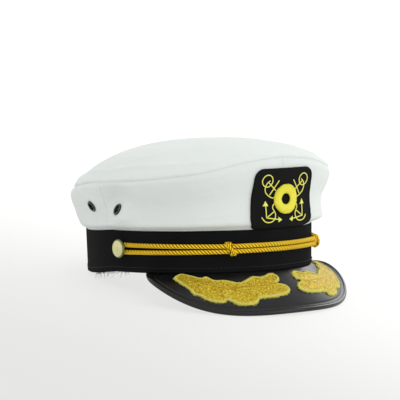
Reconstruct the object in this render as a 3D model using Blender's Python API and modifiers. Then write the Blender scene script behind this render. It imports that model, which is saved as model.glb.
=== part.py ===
"""Yachting cap: a soft white crown on a black band, with a curved visor, gold trim and a front badge.

The cap is built in its own frame: the origin in the middle of the band's lower edge, -Y the front, +X the
wearer's left, +Z up. It hangs on the empty cap_rest, which tips it back until it stands on the visor's rolled
edge and the back of the band. A place round the cap is named by its turn, the angle from the front towards the
wearer's right. Rows of points always run from the top down, so that faces look outwards. Lengths are in metres.
"""

import math

import bmesh
import bpy
import numpy as np
from mathutils import Vector

GAP = 0.0003

BAND_LENGTH = 0.1988
BAND_WIDTH = 0.180
BAND_HEIGHT = 0.034
BAND_WALL = 0.0025
BAND_TAPER = 0.0008
REST_FLAT = 0.0006
BAND_SAG = 0.0042
SAG_AT_TOP = 0.64

CROWN_CLOTH = 0.0015
CROWN_RISE = 0.0565
CROWN_HANG = 0.015
CROWN_SEAT = 0.0004
SIDE_SEAM_TURN = math.radians(90.5)
SIDE_SEAM_DIP = 0.0026
SIDE_SEAM_REACH = 0.007
DOME_RISE = 0.0713
DOME_FORWARD = 0.025
DOME_SKIRT = 0.0015
DOME_BOW = (0.80, 0.84)

VISOR_TURN = math.radians(69.5)
VISOR_RUN = 0.0285
VISOR_DROP = 0.0356
VISOR_LIFT = 0.0049
VISOR_BOARD = 0.002
VISOR_FLANGE = 0.0022
VISOR_CAMBER = 0.25
BINDING_WIDTH = 0.0038
BINDING_END = 0.98

SPRAY_THICKNESS = 0.0012

BADGE_WIDTH = 0.065
BADGE_TOP_WIDTH = 0.061
BADGE_HEIGHT = 0.0478
BADGE_OVER_BAND = 0.0006
BADGE_THICKNESS = 0.0018
BADGE_CORNER = 0.008
TRIM_SHIFT = 0.0034
RING_DIAMETER = 0.023
RING_WIDTH = 0.0065
RING_THICKNESS = 0.002
RING_LOW = 0.001

STRAP_HEIGHT = 0.0195
STRAP_CLEARANCE = 0.0004
CORD_DIAMETER = 0.0037
KNOT_TURNS = (math.radians(27), math.radians(-36))
KNOT_WIDTH = 0.0072
KNOT_FRONT = 0.002
KNOT_BACK = 0.0007
KNOT_LIFT = 0.0013
KNOT_REACH = 1.75

BUTTON_TURN = math.radians(82.5)
BUTTON_DIAMETER = 0.015
BUTTON_DEPTH = 0.0034
BUTTON_LEAN = math.radians(7)
POST_DIAMETER = 0.0014

EYELET_DIAMETER = 0.010
EYELET_HOLE = 0.0055
EYELET_BARREL = 0.0066
EYELET_FLANGE = 0.0008
EYELET_FACET = 0.007
EYELET_FADE = 0.012

# How far the soft back half of the band sags towards the table, as a share of BAND_SAG
SAG = np.array([
    # turn in degrees, sag
    (88, 0.00),
    (100, 0.45),
    (112, 0.85),
    (125, 1.00),
    (138, 0.70),
    (145, 0.46),
    (152, 0.25),
    (160, 0.06),
    (168, 0.00),
]).T

# The crown's top seam: its height as a share of CROWN_RISE, its overhang as a share of CROWN_HANG
SEAM = np.array([
    # turn in degrees, rise, hang
    (0, 1.000, 0.57),
    (10, 0.982, 0.62),
    (20, 0.946, 0.74),
    (30, 0.882, 0.90),
    (40, 0.812, 1.03),
    (52, 0.765, 1.00),
    (65, 0.724, 0.95),
    (80, 0.698, 0.90),
    (95, 0.674, 0.92),
    (115, 0.605, 0.94),
    (135, 0.535, 0.84),
    (180, 0.510, 0.80),
]).T

# The crown's side wall, from the band to the top seam: how far out it stands, as a share of the overhang
SWELL = np.array([
    # height, out at the front, out at the back
    (0.00, 0.00, 0.00),
    (0.07, 0.48, 0.28),
    (0.20, 0.57, 0.48),
    (0.34, 0.53, 0.63),
    (0.48, 0.56, 0.75),
    (0.64, 0.75, 0.90),
    (0.80, 0.94, 0.97),
    (0.92, 1.02, 0.90),
    (1.00, 0.95, 0.72),
]).T
SWELL_TURNS = (math.radians(60), math.radians(125))

# Vent eyelets on each side, and how the cloth leans round them: out gained per length towards the back and up
EYELETS = {
    # turn in degrees, height share, towards the back, upwards
    "front": (81.6, 0.43, -0.34, -0.52),
    "back": (98.7, 0.505, -0.12, 0.55),
}

# Outline of a leaf spray: shares of the visor's half turn, and of the way from the band to its edge
SPRAY = np.array([
    # turn, reach
    (0.780, 0.30), (0.765, 0.08), (0.700, 0.10), (0.630, 0.17), (0.590, 0.12), (0.540, 0.22),
    (0.465, 0.22), (0.380, 0.29), (0.330, 0.24), (0.270, 0.14), (0.200, 0.16), (0.120, 0.08),
    (0.080, 0.14), (0.075, 0.25), (0.110, 0.35), (0.055, 0.42), (0.040, 0.53), (0.070, 0.61),
    (0.130, 0.65), (0.200, 0.67), (0.270, 0.68), (0.295, 0.77), (0.345, 0.81), (0.405, 0.80),
    (0.465, 0.71), (0.495, 0.78), (0.580, 0.77), (0.620, 0.71), (0.665, 0.69), (0.685, 0.60),
]).T

# Half section of a button: shares of its radius and of its depth in front of its back face
BUTTON_PROFILE = (
    # out, forward
    (0.00, 1.00),
    (0.34, 0.95),
    (0.64, 0.80),
    (0.84, 0.56),
    (0.91, 0.42),
    (1.00, 0.36),
    (1.00, 0.12),
    (0.94, 0.00),
)


def along(x, xs, ys):
    """Reads a table at x, through a cubic curve that passes each row and lies level at both ends."""
    slope = np.gradient(ys, xs)
    slope[[0, -1]] = 0
    x = np.clip(x, xs[0], xs[-1])
    row = np.clip(np.searchsorted(xs, x, side="right") - 1, 0, len(xs) - 2)
    width = xs[row + 1] - xs[row]
    u = (x - xs[row]) / width
    start = (1 + 2 * u) * (1 - u) ** 2 * ys[row] + u * (1 - u) ** 2 * width * slope[row]
    end = u * u * (3 - 2 * u) * ys[row + 1] + u * u * (u - 1) * width * slope[row + 1]
    return start + end


def ease(x):
    """0 below 0, 1 above 1, and a smooth step between them."""
    x = np.clip(x, 0, 1)
    return x * x * (3 - 2 * x)


def outline(turn, out):
    """Plan points at each turn, moved out square to the band's oval."""
    half = np.array([BAND_WIDTH, BAND_LENGTH]) / 2
    way = -np.stack([np.sin(turn), np.cos(turn)], -1)
    normal = way / half
    normal /= np.linalg.norm(normal, axis=-1, keepdims=True)
    return way * half + normal * np.asarray(out)[..., None]


def round_length(turn):
    """Length round the band's oval per radian of turn."""
    return np.hypot(BAND_WIDTH / 2 * np.cos(turn), BAND_LENGTH / 2 * np.sin(turn))


def seam_rise(turn):
    return CROWN_RISE * along(np.degrees(np.abs(turn)), SEAM[0], SEAM[1])


def sag(turn):
    """How far the band's lower edge hangs below its own plane."""
    return BAND_SAG * along(np.degrees(np.abs(turn)), SAG[0], SAG[1])


def swell(turn, height):
    """How far the crown's side stands out from the band's oval, before the cloth leans round the eyelets."""
    hang = CROWN_HANG * along(np.degrees(np.abs(turn)), SEAM[0], SEAM[2])
    back = ease((np.abs(turn) - SWELL_TURNS[0]) / (SWELL_TURNS[1] - SWELL_TURNS[0]))
    share = along(height, SWELL[0], SWELL[1]) * (1 - back) + along(height, SWELL[0], SWELL[2]) * back
    return hang * share - CROWN_SEAT


def crown_side(turn, height):
    """Points on the crown's outer face, height being the share of the way from the band to the top seam."""
    turn, height = np.broadcast_arrays(np.asarray(turn, float), height)
    out = swell(turn, height)
    for degrees, share, backwards, upwards in EYELETS.values():
        place = math.radians(degrees)
        across = (np.abs(turn) - place) * round_length(place)
        above = (height - share) * seam_rise(place)
        flat = swell(place, share) + across * backwards + above * upwards
        hold = 1 - ease((np.hypot(across, above) - EYELET_FACET) / EYELET_FADE)
        out = out + hold * (flat - out)
    from_seam = (np.abs(turn) - SIDE_SEAM_TURN) * round_length(SIDE_SEAM_TURN) / SIDE_SEAM_REACH
    out = out - SIDE_SEAM_DIP * np.exp(-(from_seam**2)) * 4 * height * (1 - height)
    z = BAND_HEIGHT + GAP + seam_rise(turn) * height - sag(turn) * SAG_AT_TOP * (1 - height)
    return np.concatenate([outline(turn, out), z[..., None]], -1)


def crown_dome(turn, share):
    """Points on the top panel above its skirt: share 0 is its highest point and share 1 its edge."""
    turn, share = np.broadcast_arrays(np.asarray(turn, float), share)
    edge = crown_side(turn, 1.0) + (0, 0, GAP + DOME_SKIRT)
    peak = np.array((0, -DOME_FORWARD, BAND_HEIGHT + DOME_RISE))
    point = peak + (edge - peak) * share[..., None]
    bow = DOME_BOW[0] + (DOME_BOW[1] - DOME_BOW[0]) * ease(np.abs(turn) / math.radians(90))
    point[..., 2] = edge[..., 2] + (peak[2] - edge[..., 2]) * (1 - share**2.7) ** bow
    return point


def visor_section(turn):
    """Run out from the band and drop below it of the visor's edge at each turn."""
    share = np.clip(np.abs(turn) / VISOR_TURN, 0, 1)
    run = BAND_TAPER + VISOR_RUN * (1 - share**8) ** 0.95
    drop = GAP + VISOR_DROP * (1 - share**3.9) ** 2.2 - VISOR_LIFT * (1 - share**2) ** 2
    return run, drop


def visor_face(turn, reach):
    """Points on the visor's upper face, reach being the share of the way from the band to its edge."""
    turn, reach = np.broadcast_arrays(np.asarray(turn, float), reach)
    run, drop = visor_section(turn)
    fall = (1 - VISOR_CAMBER) * reach + VISOR_CAMBER * reach * reach
    z = -GAP - (drop - GAP) * fall
    return np.concatenate([outline(turn, run * reach - BAND_TAPER), z[..., None]], -1)


def lifted(points, distance):
    """A grid of points moved off its outer side."""
    normal = np.cross(np.gradient(points, axis=0), np.gradient(points, axis=1))
    return points + distance * normal / np.linalg.norm(normal, axis=-1, keepdims=True)


def crown_front_at(x, z):
    """The y of the crown's outer face at a place across its front."""
    turn = 0.0
    for _ in range(4):
        height = (z - BAND_HEIGHT - GAP) / seam_rise(turn)
        turn = math.asin(-x / (BAND_WIDTH / 2 + swell(turn, height) * BAND_LENGTH / BAND_WIDTH))
    return crown_side(turn, height)[1]


def off_band(turn, height, off):
    """Points off the band's outer face at a height over its lower edge."""
    turn, height, off = np.broadcast_arrays(np.asarray(turn, float), height, off)
    out = off - BAND_TAPER * (1 - height / BAND_HEIGHT)
    return np.concatenate([outline(turn, out), height[..., None]], -1)


def material(name, colour, roughness, metallic=0.0):
    made = bpy.data.materials.new(name)
    made.use_nodes = True
    shader = made.node_tree.nodes["Principled BSDF"]
    shader.inputs["Base Color"].default_value = (*colour, 1)
    shader.inputs["Roughness"].default_value = roughness
    shader.inputs["Metallic"].default_value = metallic
    return made


def place(obj, look):
    """Puts a piece of the cap in its collection and under the empty that carries its resting pose."""
    cap.objects.link(obj)
    obj.parent = cap_rest
    if look:
        obj.data.materials.append(look)
    return obj


def helper(obj):
    """Keeps a cutter or a guide out of the cap."""
    cutters.objects.link(obj)
    obj.hide_render = True
    obj.display_type = "WIRE"
    return obj


def sheet(name, points, around=False, hoop=False, peak=None):
    """A surface through a grid of points, turn by row, closed along its turns, its rows or over a peak."""
    columns, rows = points.shape[:2]
    bm = bmesh.new()
    grid = [[bm.verts.new(point) for point in column] for column in points]
    for i in range(columns if around else columns - 1):
        near = grid[i]
        far = grid[(i + 1) % columns]
        for j in range(rows if hoop else rows - 1):
            below = (j + 1) % rows
            bm.faces.new((near[j], far[j], far[below], near[below]))
    if peak is not None:
        top = bm.verts.new(peak)
        for i in range(columns):
            bm.faces.new((top, grid[(i + 1) % columns][0], grid[i][0]))
    mesh = bpy.data.meshes.new(name)
    bm.to_mesh(mesh)
    bm.free()
    mesh.shade_smooth()
    return bpy.data.objects.new(name, mesh)


def thicken(obj, thickness, outwards=False):
    wall = obj.modifiers.new("wall", "SOLIDIFY")
    wall.thickness = thickness
    wall.offset = 1 if outwards else -1
    wall.use_even_offset = True


def boolean(obj, other, operation):
    cut = obj.modifiers.new(other.name, "BOOLEAN")
    cut.operation = operation
    cut.object = other


def flat_block(name, corners, depth, turned):
    """A straight block with the outline of the corners, its depth along Z, or along Y where turned."""
    curve = bpy.data.curves.new(name, "CURVE")
    curve.dimensions = "2D"
    curve.fill_mode = "BOTH"
    curve.extrude = depth / 2
    line = curve.splines.new("POLY")
    line.points.add(len(corners) - 1)
    for point, corner in zip(line.points, corners):
        point.co = (*corner, 0, 1)
    line.use_cyclic_u = True
    drawn = bpy.data.objects.new(name, curve)
    bpy.context.scene.collection.objects.link(drawn)
    mesh = bpy.data.meshes.new_from_object(drawn.evaluated_get(bpy.context.evaluated_depsgraph_get()))
    bpy.data.objects.remove(drawn)
    bm = bmesh.new()
    bm.from_mesh(mesh)
    bmesh.ops.remove_doubles(bm, verts=bm.verts, dist=1e-6)
    bmesh.ops.recalc_face_normals(bm, faces=bm.faces)
    bm.to_mesh(mesh)
    bm.free()
    block = helper(bpy.data.objects.new(name, mesh))
    block.rotation_euler.x = math.radians(90) if turned else 0
    block.parent = cap_rest
    return block


def tube(name, points, diameter, widths=None, closed=False):
    """A round bar along a line of points, with its width shared out by the widths where they are given."""
    curve = bpy.data.curves.new(name, "CURVE")
    curve.dimensions = "3D"
    curve.bevel_depth = diameter / 2
    curve.bevel_resolution = 2
    curve.use_fill_caps = True
    line = curve.splines.new("POLY")
    line.points.add(len(points) - 1)
    for i, point in enumerate(points):
        line.points[i].co = (*point, 1)
        line.points[i].radius = 1 if widths is None else widths[i]
    line.use_cyclic_u = closed
    line.use_smooth = True
    return bpy.data.objects.new(name, curve)


def turned(name, profile, steps, closed=False):
    """A turned piece on its own Z axis, from a half section that runs down its outer side."""
    mesh = bpy.data.meshes.new(name)
    edges = [(i, i + 1) for i in range(len(profile) - 1)]
    if closed:
        edges.append((len(profile) - 1, 0))
    mesh.from_pydata([(r, 0, z) for r, z in profile], edges, [])
    obj = bpy.data.objects.new(name, mesh)
    spin = obj.modifiers.new("turn", "SCREW")
    spin.steps = steps
    spin.render_steps = steps
    spin.use_merge_vertices = True
    spin.merge_threshold = 0.00001
    return obj


def stand(obj, point, normal):
    """Sets a turned piece on a point of the cap with its axis along the normal."""
    obj.location = point
    obj.rotation_euler = Vector(normal).to_track_quat("Z", "Y").to_euler()


for old in list(bpy.data.objects):
    bpy.data.objects.remove(old)
cap = bpy.data.collections.new("yachting_cap")
cutters = bpy.data.collections.new("cutters")
bpy.context.scene.collection.children.link(cap)
bpy.context.scene.collection.children.link(cutters)
cap_rest = bpy.data.objects.new("cap_rest", None)
cap.objects.link(cap_rest)

WHITE_COTTON = material("white_cotton", (0.86, 0.87, 0.86), 0.9)
BLACK_TWILL = material("black_twill", (0.012, 0.012, 0.013), 0.85)
BLACK_VINYL = material("black_vinyl", (0.012, 0.012, 0.014), 0.35)
BLACK_FELT = material("black_felt", (0.01, 0.01, 0.011), 0.95)
GOLD_THREAD = material("gold_thread", (0.85, 0.60, 0.09), 0.5, 0.3)
GOLD_CORD = material("gold_cord", (0.88, 0.55, 0.06), 0.5, 0.2)
BRASS = material("pale_brass", (0.83, 0.76, 0.55), 0.3, 0.9)
DARK_METAL = material("dark_metal", (0.03, 0.03, 0.03), 0.35, 0.9)

# Band: a straight cloth wall, drawn in a little at its lower edge
band_turns = np.linspace(-math.pi, math.pi, 72, endpoint=False)
band_rows = []
for share in (1.0, 0.5, 0.0):
    ring = outline(band_turns, np.full(band_turns.shape, -BAND_TAPER * (1 - share)))
    level = BAND_HEIGHT * share - sag(band_turns) * (1 - (1 - SAG_AT_TOP) * share)
    band_rows.append(np.column_stack([ring, level]))
band = place(sheet("band", np.stack(band_rows, 1), around=True), BLACK_TWILL)
thicken(band, BAND_WALL)

# Crown's side: four quarters, sewn at the front, the back and each side between the eyelets
facet_turn = EYELET_FACET * 0.7 / round_length(math.pi / 2)
front_eyelet = math.radians(EYELETS["front"][0])
back_eyelet = math.radians(EYELETS["back"][0])
front_turns = np.concatenate([
    np.linspace(0, front_eyelet - facet_turn, 14),
    [front_eyelet + facet_turn, SIDE_SEAM_TURN],
])
back_turns = np.concatenate([
    [SIDE_SEAM_TURN, back_eyelet - facet_turn],
    np.linspace(back_eyelet + facet_turn, math.pi, 12),
])
front_heights = np.array([1.0, 0.94, 0.86, 0.74, 0.64, 0.54, 0.38, 0.22, 0.12, 0.05, 0.0])
back_heights = np.array([1.0, 0.94, 0.84, 0.73, 0.63, 0.47, 0.31, 0.15, 0.0])
QUARTERS = {
    "crown_quarter_front_right": (front_turns, front_heights, "front"),
    "crown_quarter_back_right": (back_turns, back_heights, "back"),
    "crown_quarter_front_left": (-front_turns[::-1], front_heights, "front"),
    "crown_quarter_back_left": (-back_turns[::-1], back_heights, "back"),
}
for name, (turns, heights, end) in QUARTERS.items():
    turns = turns.copy()
    turns[0] += GAP / 2 / round_length(turns[0])
    turns[-1] -= GAP / 2 / round_length(turns[-1])
    quarter = place(sheet(name, crown_side(turns[:, None], heights)), WHITE_COTTON)
    thicken(quarter, CROWN_CLOTH)

    # Each quarter has one vent eyelet, whose barrel goes through a hole in the cloth
    degrees, share = EYELETS[end][:2]
    side = 1 if turns.mean() > 0 else -1
    spot = side * math.radians(degrees)
    patch = crown_side(spot + np.array([[-0.01], [0.0], [0.01]]), share + np.array([0.02, 0.0, -0.02]))
    seat = patch[1, 1]
    normal = np.cross(patch[2, 1] - patch[0, 1], patch[1, 2] - patch[1, 0])
    normal /= np.linalg.norm(normal)
    barrel = EYELET_BARREL / 2
    back = -CROWN_CLOTH - 2 * GAP
    eyelet = turned(
        name.replace("crown_quarter_", "eyelet_"),
        (
            (EYELET_HOLE / 2, GAP + EYELET_FLANGE * 0.6),
            (EYELET_HOLE * 0.6, GAP + EYELET_FLANGE),
            (EYELET_DIAMETER * 0.43, GAP + EYELET_FLANGE),
            (EYELET_DIAMETER / 2, GAP + EYELET_FLANGE * 0.3),
            (EYELET_DIAMETER / 2, GAP),
            (barrel, GAP),
            (barrel, back),
            (EYELET_DIAMETER * 0.42, back),
            (EYELET_DIAMETER * 0.42, back - EYELET_FLANGE * 0.5),
            (EYELET_HOLE / 2, back - EYELET_FLANGE * 0.5),
        ),
        14,
        closed=True,
    )
    stand(place(eyelet, DARK_METAL), seat, normal)
    hole = bmesh.new()
    bmesh.ops.create_cone(
        hole, cap_ends=True, segments=16, radius1=barrel + GAP, radius2=barrel + GAP, depth=CROWN_CLOTH * 6
    )
    hole_mesh = bpy.data.meshes.new(name + "_hole")
    hole.to_mesh(hole_mesh)
    hole.free()
    cutter = helper(bpy.data.objects.new(name + "_hole", hole_mesh))
    cutter.parent = cap_rest
    stand(cutter, seat, normal)
    boolean(quarter, cutter, "DIFFERENCE")

# Crown's top: one oval panel, with a short upright skirt at its edge that meets the quarters at the seam
half_rim = np.concatenate([front_turns, back_turns[1:]])
rim_turns = np.concatenate([-half_rim[:0:-1], half_rim[:-1]])
dome_shares = np.array([0.35, 0.61, 0.80, 0.92, 0.98, 1.0])
dome = crown_dome(rim_turns[:, None], dome_shares)
skirt = crown_side(rim_turns, 1.0) + (0, 0, GAP)
dome = np.concatenate([dome, skirt[:, None]], 1)
crown_top = place(sheet("crown_top", dome, around=True, peak=crown_dome(0.0, 0.0)), WHITE_COTTON)
thicken(crown_top, CROWN_CLOTH)

# Visor: a curved board whose flange is sewn under the band, and the rolled edge that binds it
visor_turns = VISOR_TURN * np.sin(np.linspace(-math.pi / 2, math.pi / 2, 41))
edge_turns = VISOR_TURN * BINDING_END * np.sin(np.linspace(-math.pi / 2, math.pi / 2, 45))
reaches = np.linspace(0, 1, 61)
rim = visor_face(VISOR_TURN * np.sin(np.linspace(-math.pi / 2, math.pi / 2, 181)), 1.0)
board_end = []
for turn in visor_turns:
    from_rim = np.linalg.norm(visor_face(turn, reaches)[:, None] - rim, axis=-1).min(1)
    board_end.append(np.interp(BINDING_WIDTH + GAP, from_rim[::-1], reaches[::-1]))
board_end = np.maximum(board_end, BAND_TAPER / 2 / visor_section(visor_turns)[0])
board_reach = board_end[:, None] * np.array([0.0, 0.2, 0.4, 0.6, 0.8, 1.0])
board = visor_face(visor_turns[:, None], board_reach)
flange = outline(visor_turns, np.full(visor_turns.shape, -BAND_TAPER - VISOR_FLANGE))
flange = np.column_stack([flange, np.full(visor_turns.shape, -GAP)])
visor = place(sheet("visor", np.concatenate([flange[:, None], board], 1)), BLACK_VINYL)
thicken(visor, VISOR_BOARD)

edge = visor_face(edge_turns, 1.0)
edge_way = np.gradient(edge, axis=0)
edge_way /= np.linalg.norm(edge_way, axis=1, keepdims=True)
edge_up = np.cross(edge_way, edge - visor_face(edge_turns, 0.98))
edge_up /= np.linalg.norm(edge_up, axis=1, keepdims=True)
edge_line = edge + np.cross(edge_way, edge_up) * BINDING_WIDTH / 2 - edge_up * VISOR_BOARD / 2
edge_width = 0.62 + 0.38 * ease((VISOR_TURN * BINDING_END - np.abs(edge_turns)) / math.radians(6))
place(tube("visor_binding", edge_line, BINDING_WIDTH, edge_width), BLACK_VINYL)

# Leaf sprays: thin padded embroidery on the visor's upper face, one to each side
trim_turn = TRIM_SHIFT / round_length(0)
for name, side in (("leaf_spray_right", 1), ("leaf_spray_left", -1)):
    corners = visor_face(side * SPRAY[0] * VISOR_TURN - trim_turn, SPRAY[1])[:, :2]
    block = flat_block(name + "_outline", corners, VISOR_DROP * 3, turned=False)
    near = (np.abs(visor_turns) < VISOR_TURN * 0.9) & (side * visor_turns > -0.1)
    ground = lifted(board, GAP)[near]
    spray = place(sheet(name, ground), GOLD_THREAD)
    thicken(spray, SPRAY_THICKNESS, outwards=True)
    boolean(spray, block, "INTERSECT")

# Badge: a felt patch laid on the crown's front, with a padded life ring in its middle
badge_turns = np.concatenate([-front_turns[6:0:-1], front_turns[:7]])
badge_heights = front_heights[1:]
badge_middle = BAND_HEIGHT + BADGE_OVER_BAND + BADGE_HEIGHT / 2
corners = []
for x_side, z_side, start in ((1, 1, 0), (-1, 1, 90), (-1, -1, 180), (1, -1, 270)):
    half = (BADGE_TOP_WIDTH if z_side > 0 else BADGE_WIDTH) / 2
    for angle in np.radians(start + np.array([0, 30, 60, 90])):
        x = x_side * (half - BADGE_CORNER) + BADGE_CORNER * math.cos(angle)
        z = z_side * (BADGE_HEIGHT / 2 - BADGE_CORNER) + BADGE_CORNER * math.sin(angle)
        corners.append((TRIM_SHIFT + x, badge_middle + z))
block = flat_block("badge_outline", corners, BAND_LENGTH, turned=True)
block.location.y = -BAND_LENGTH * 0.6
crown_front = crown_side(badge_turns[:, None], badge_heights)
badge = place(sheet("badge_patch", lifted(crown_front, GAP)), BLACK_FELT)
thicken(badge, BADGE_THICKNESS, outwards=True)
boolean(badge, block, "INTERSECT")

bpy.ops.mesh.primitive_torus_add(
    major_segments=24,
    minor_segments=8,
    major_radius=(RING_DIAMETER - RING_WIDTH) / 2,
    minor_radius=RING_WIDTH / 2,
)
torus = bpy.context.object
torus.users_collection[0].objects.unlink(torus)
torus.name = "badge_ring"
torus.data.shade_smooth()
ring_back = GAP + BADGE_THICKNESS + GAP + RING_THICKNESS / 2
for vertex in torus.data.vertices:
    x, z, rise = vertex.co + Vector((TRIM_SHIFT, badge_middle - RING_LOW, 0))
    face = crown_front_at(x, z)
    vertex.co = (x, face - ring_back - rise * RING_THICKNESS / RING_WIDTH, z)
place(torus, GOLD_THREAD)

# Strap: two strands of one cord, looped round the buttons' posts and drawn together by a knot near each end
cord_out = STRAP_CLEARANCE + CORD_DIAMETER / 2
loop_radius = POST_DIAMETER / 2 + STRAP_CLEARANCE + CORD_DIAMETER / 2
knot_spread = (CORD_DIAMETER + STRAP_CLEARANCE) / 2
right_knot, left_knot = KNOT_TURNS
strand_turns = np.concatenate([
    np.linspace(BUTTON_TURN, right_knot, 11, endpoint=False),
    np.linspace(right_knot, left_knot, 13, endpoint=False),
    np.linspace(left_knot, -BUTTON_TURN, 10),
])
apart = (strand_turns - right_knot) / (BUTTON_TURN - right_knot)
apart = np.maximum(apart, (strand_turns - left_knot) / (-BUTTON_TURN - left_knot))
spread = knot_spread + (loop_radius - knot_spread) * np.maximum(apart, 0)
from_knots = np.abs(strand_turns[:, None] - KNOT_TURNS).min(1) * round_length(0) / KNOT_WIDTH
raised = cord_out + KNOT_LIFT * np.exp(-((from_knots / KNOT_REACH) ** 2))
bend = np.radians(np.arange(30, 180, 30))
bend_turns = BUTTON_TURN + loop_radius * np.sin(bend) / round_length(BUTTON_TURN)
bend_heights = STRAP_HEIGHT + loop_radius * np.cos(bend)
strap_line = np.concatenate([
    off_band(strand_turns, STRAP_HEIGHT + spread, raised),
    off_band(-bend_turns, bend_heights, cord_out),
    off_band(strand_turns, STRAP_HEIGHT - spread, raised)[::-1],
    off_band(bend_turns, bend_heights[::-1], cord_out),
])
place(tube("strap_cord", strap_line, CORD_DIAMETER, closed=True), GOLD_CORD)

# Knots: each a flat wrap round both strands, thick in front and thin against the band
wrap = np.linspace(-math.pi, math.pi, 17)[:-1] + math.pi / 16
section = np.linspace(0, 2 * math.pi, 9)[:-1]
front_share = (1 + np.cos(wrap)) / 2
wrap_depth = KNOT_BACK + (KNOT_FRONT - KNOT_BACK) * front_share
wrap_half = KNOT_WIDTH / 2 * (0.5 + 0.5 * front_share)
for name, knot in (("strap_knot_right", right_knot), ("strap_knot_left", left_knot)):
    far = CORD_DIAMETER / 2 + STRAP_CLEARANCE + wrap_depth[:, None] / 2 * (1 + np.cos(section))
    heights = STRAP_HEIGHT + np.sign(np.sin(wrap))[:, None] * knot_spread + far * np.sin(wrap)[:, None]
    outs = cord_out + KNOT_LIFT + far * np.cos(wrap)[:, None]
    turns = knot + wrap_half[:, None] * np.sin(section) / round_length(knot)
    place(sheet(name, off_band(turns, heights, outs), around=True, hoop=True), GOLD_CORD)

# Buttons: domed, each on a shank that the strap's loop goes round and pulls to lean backwards
button_back = STRAP_CLEARANCE + CORD_DIAMETER + GAP + (loop_radius + CORD_DIAMETER / 2) * math.sin(BUTTON_LEAN)
shank = button_back - GAP
profile = [(BUTTON_DIAMETER / 2 * r, BUTTON_DEPTH * z) for r, z in BUTTON_PROFILE]
profile += [(POST_DIAMETER / 2, 0.0), (POST_DIAMETER / 2, -shank), (0.0, -shank)]
for name, side in (("button_right", 1), ("button_left", -1)):
    button = place(turned(name, profile, 18), BRASS)
    seat, front = off_band(side * BUTTON_TURN, STRAP_HEIGHT, np.array([button_back, button_back + 1]))
    backwards = np.cross((0, 0, side), front - seat)
    stand(button, seat, front - seat - backwards * math.tan(BUTTON_LEAN))

# Rest: the cap tips back until the rolled edge and the back of the band, pressed flat there, meet the floor
band_back = BAND_LENGTH / 2 - BAND_TAPER
reach = np.hypot(band_back - edge_line[:, 1], edge_line[:, 2])
slope = np.arctan2(-edge_line[:, 2], band_back - edge_line[:, 1])
tilt = np.max(slope + np.arcsin((BINDING_WIDTH / 2 * edge_width + REST_FLAT) / reach))
cap_rest.rotation_euler.x = -tilt
cap_rest.location.z = band_back * math.sin(tilt) - REST_FLAT
floor_mesh = bmesh.new()
bmesh.ops.create_cube(floor_mesh, size=BAND_LENGTH * 3)
bmesh.ops.translate(floor_mesh, verts=floor_mesh.verts, vec=(0, 0, -BAND_LENGTH * 1.5))
below = bpy.data.meshes.new("below_floor")
floor_mesh.to_mesh(below)
floor_mesh.free()
boolean(band, helper(bpy.data.objects.new("below_floor", below)), "DIFFERENCE")

# The origin is under the middle of the cap's footprint
bpy.context.view_layer.update()
graph = bpy.context.evaluated_depsgraph_get()
ends = [
    (obj.matrix_world @ Vector(corner)).y
    for obj in (crown_top, cap.objects["visor_binding"], *(cap.objects[name] for name in QUARTERS))
    for corner in [v.co for v in obj.evaluated_get(graph).to_mesh().vertices]
]
cap_rest.location.y = -(min(ends) + max(ends)) / 2
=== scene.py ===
"""Yachting cap: the looks of the soft white crown, black band, curved visor, gold trim and front badge.

Shapes are worked out in the cap's own frame: the origin in the middle of the band's lower edge, -Y the front,
+X the wearer's left, +Z up. A place round the cap is named by its turn, the angle from the front towards the
wearer's right. at_rest then leans them back onto the table. Lengths are in metres.
"""

import math

import bpy
import numpy as np
from mathutils import Matrix, Vector


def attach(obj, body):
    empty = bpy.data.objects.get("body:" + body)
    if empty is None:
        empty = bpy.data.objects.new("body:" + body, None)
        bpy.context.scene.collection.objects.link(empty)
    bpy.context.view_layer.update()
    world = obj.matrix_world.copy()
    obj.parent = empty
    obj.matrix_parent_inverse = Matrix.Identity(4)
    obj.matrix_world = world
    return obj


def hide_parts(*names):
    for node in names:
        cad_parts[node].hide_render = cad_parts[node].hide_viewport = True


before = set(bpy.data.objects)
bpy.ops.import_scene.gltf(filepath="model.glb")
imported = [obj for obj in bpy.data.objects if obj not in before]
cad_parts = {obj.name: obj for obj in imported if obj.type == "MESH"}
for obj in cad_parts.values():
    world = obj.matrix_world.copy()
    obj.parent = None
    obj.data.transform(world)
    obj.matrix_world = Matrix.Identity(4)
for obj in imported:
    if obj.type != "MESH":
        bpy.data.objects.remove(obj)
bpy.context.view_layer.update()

# ---- Band
# One straight wall of black cotton twill over a stiff lining. Its lower edge is turned up and stitched, it is
# drawn in a little there, and the cap's weight presses its back flat where it meets the table.
BAND_LENGTH = 0.1988
BAND_WIDTH = 0.180
BAND_HEIGHT = 0.034
BAND_WALL = 0.0025
BAND_TAPER = 0.0008
BAND_FOLD = 0.0009
BAND_SAG = 0.0042
SAG_AT_TOP = 0.64
SAG = np.array([
    # turn in degrees, share of the sag of the soft back half towards the table
    (88, 0.00), (100, 0.45), (112, 0.85), (125, 1.00), (138, 0.70), (145, 0.46), (152, 0.25), (160, 0.06),
    (168, 0.00),
]).T
HEM_HEIGHT = 0.0052
HEM_THICKNESS = 0.00025
HEM_EDGE = 0.0007
UPPER_WAVER = 0.00022
WALL_WAVER = 0.00018
TABLE_CLEARANCE = 0.00002
LEAN = math.radians(8.6658)
REST_PLACE = (0.0, 0.0063474, 0.0142561)
BAND_HALF = np.array([BAND_WIDTH, BAND_LENGTH]) / 2


def ease(x):
    """0 below 0, 1 above 1, and 3x^2 - 2x^3 between them."""
    x = np.clip(x, 0, 1)
    return x * x * (3 - 2 * x)


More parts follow.
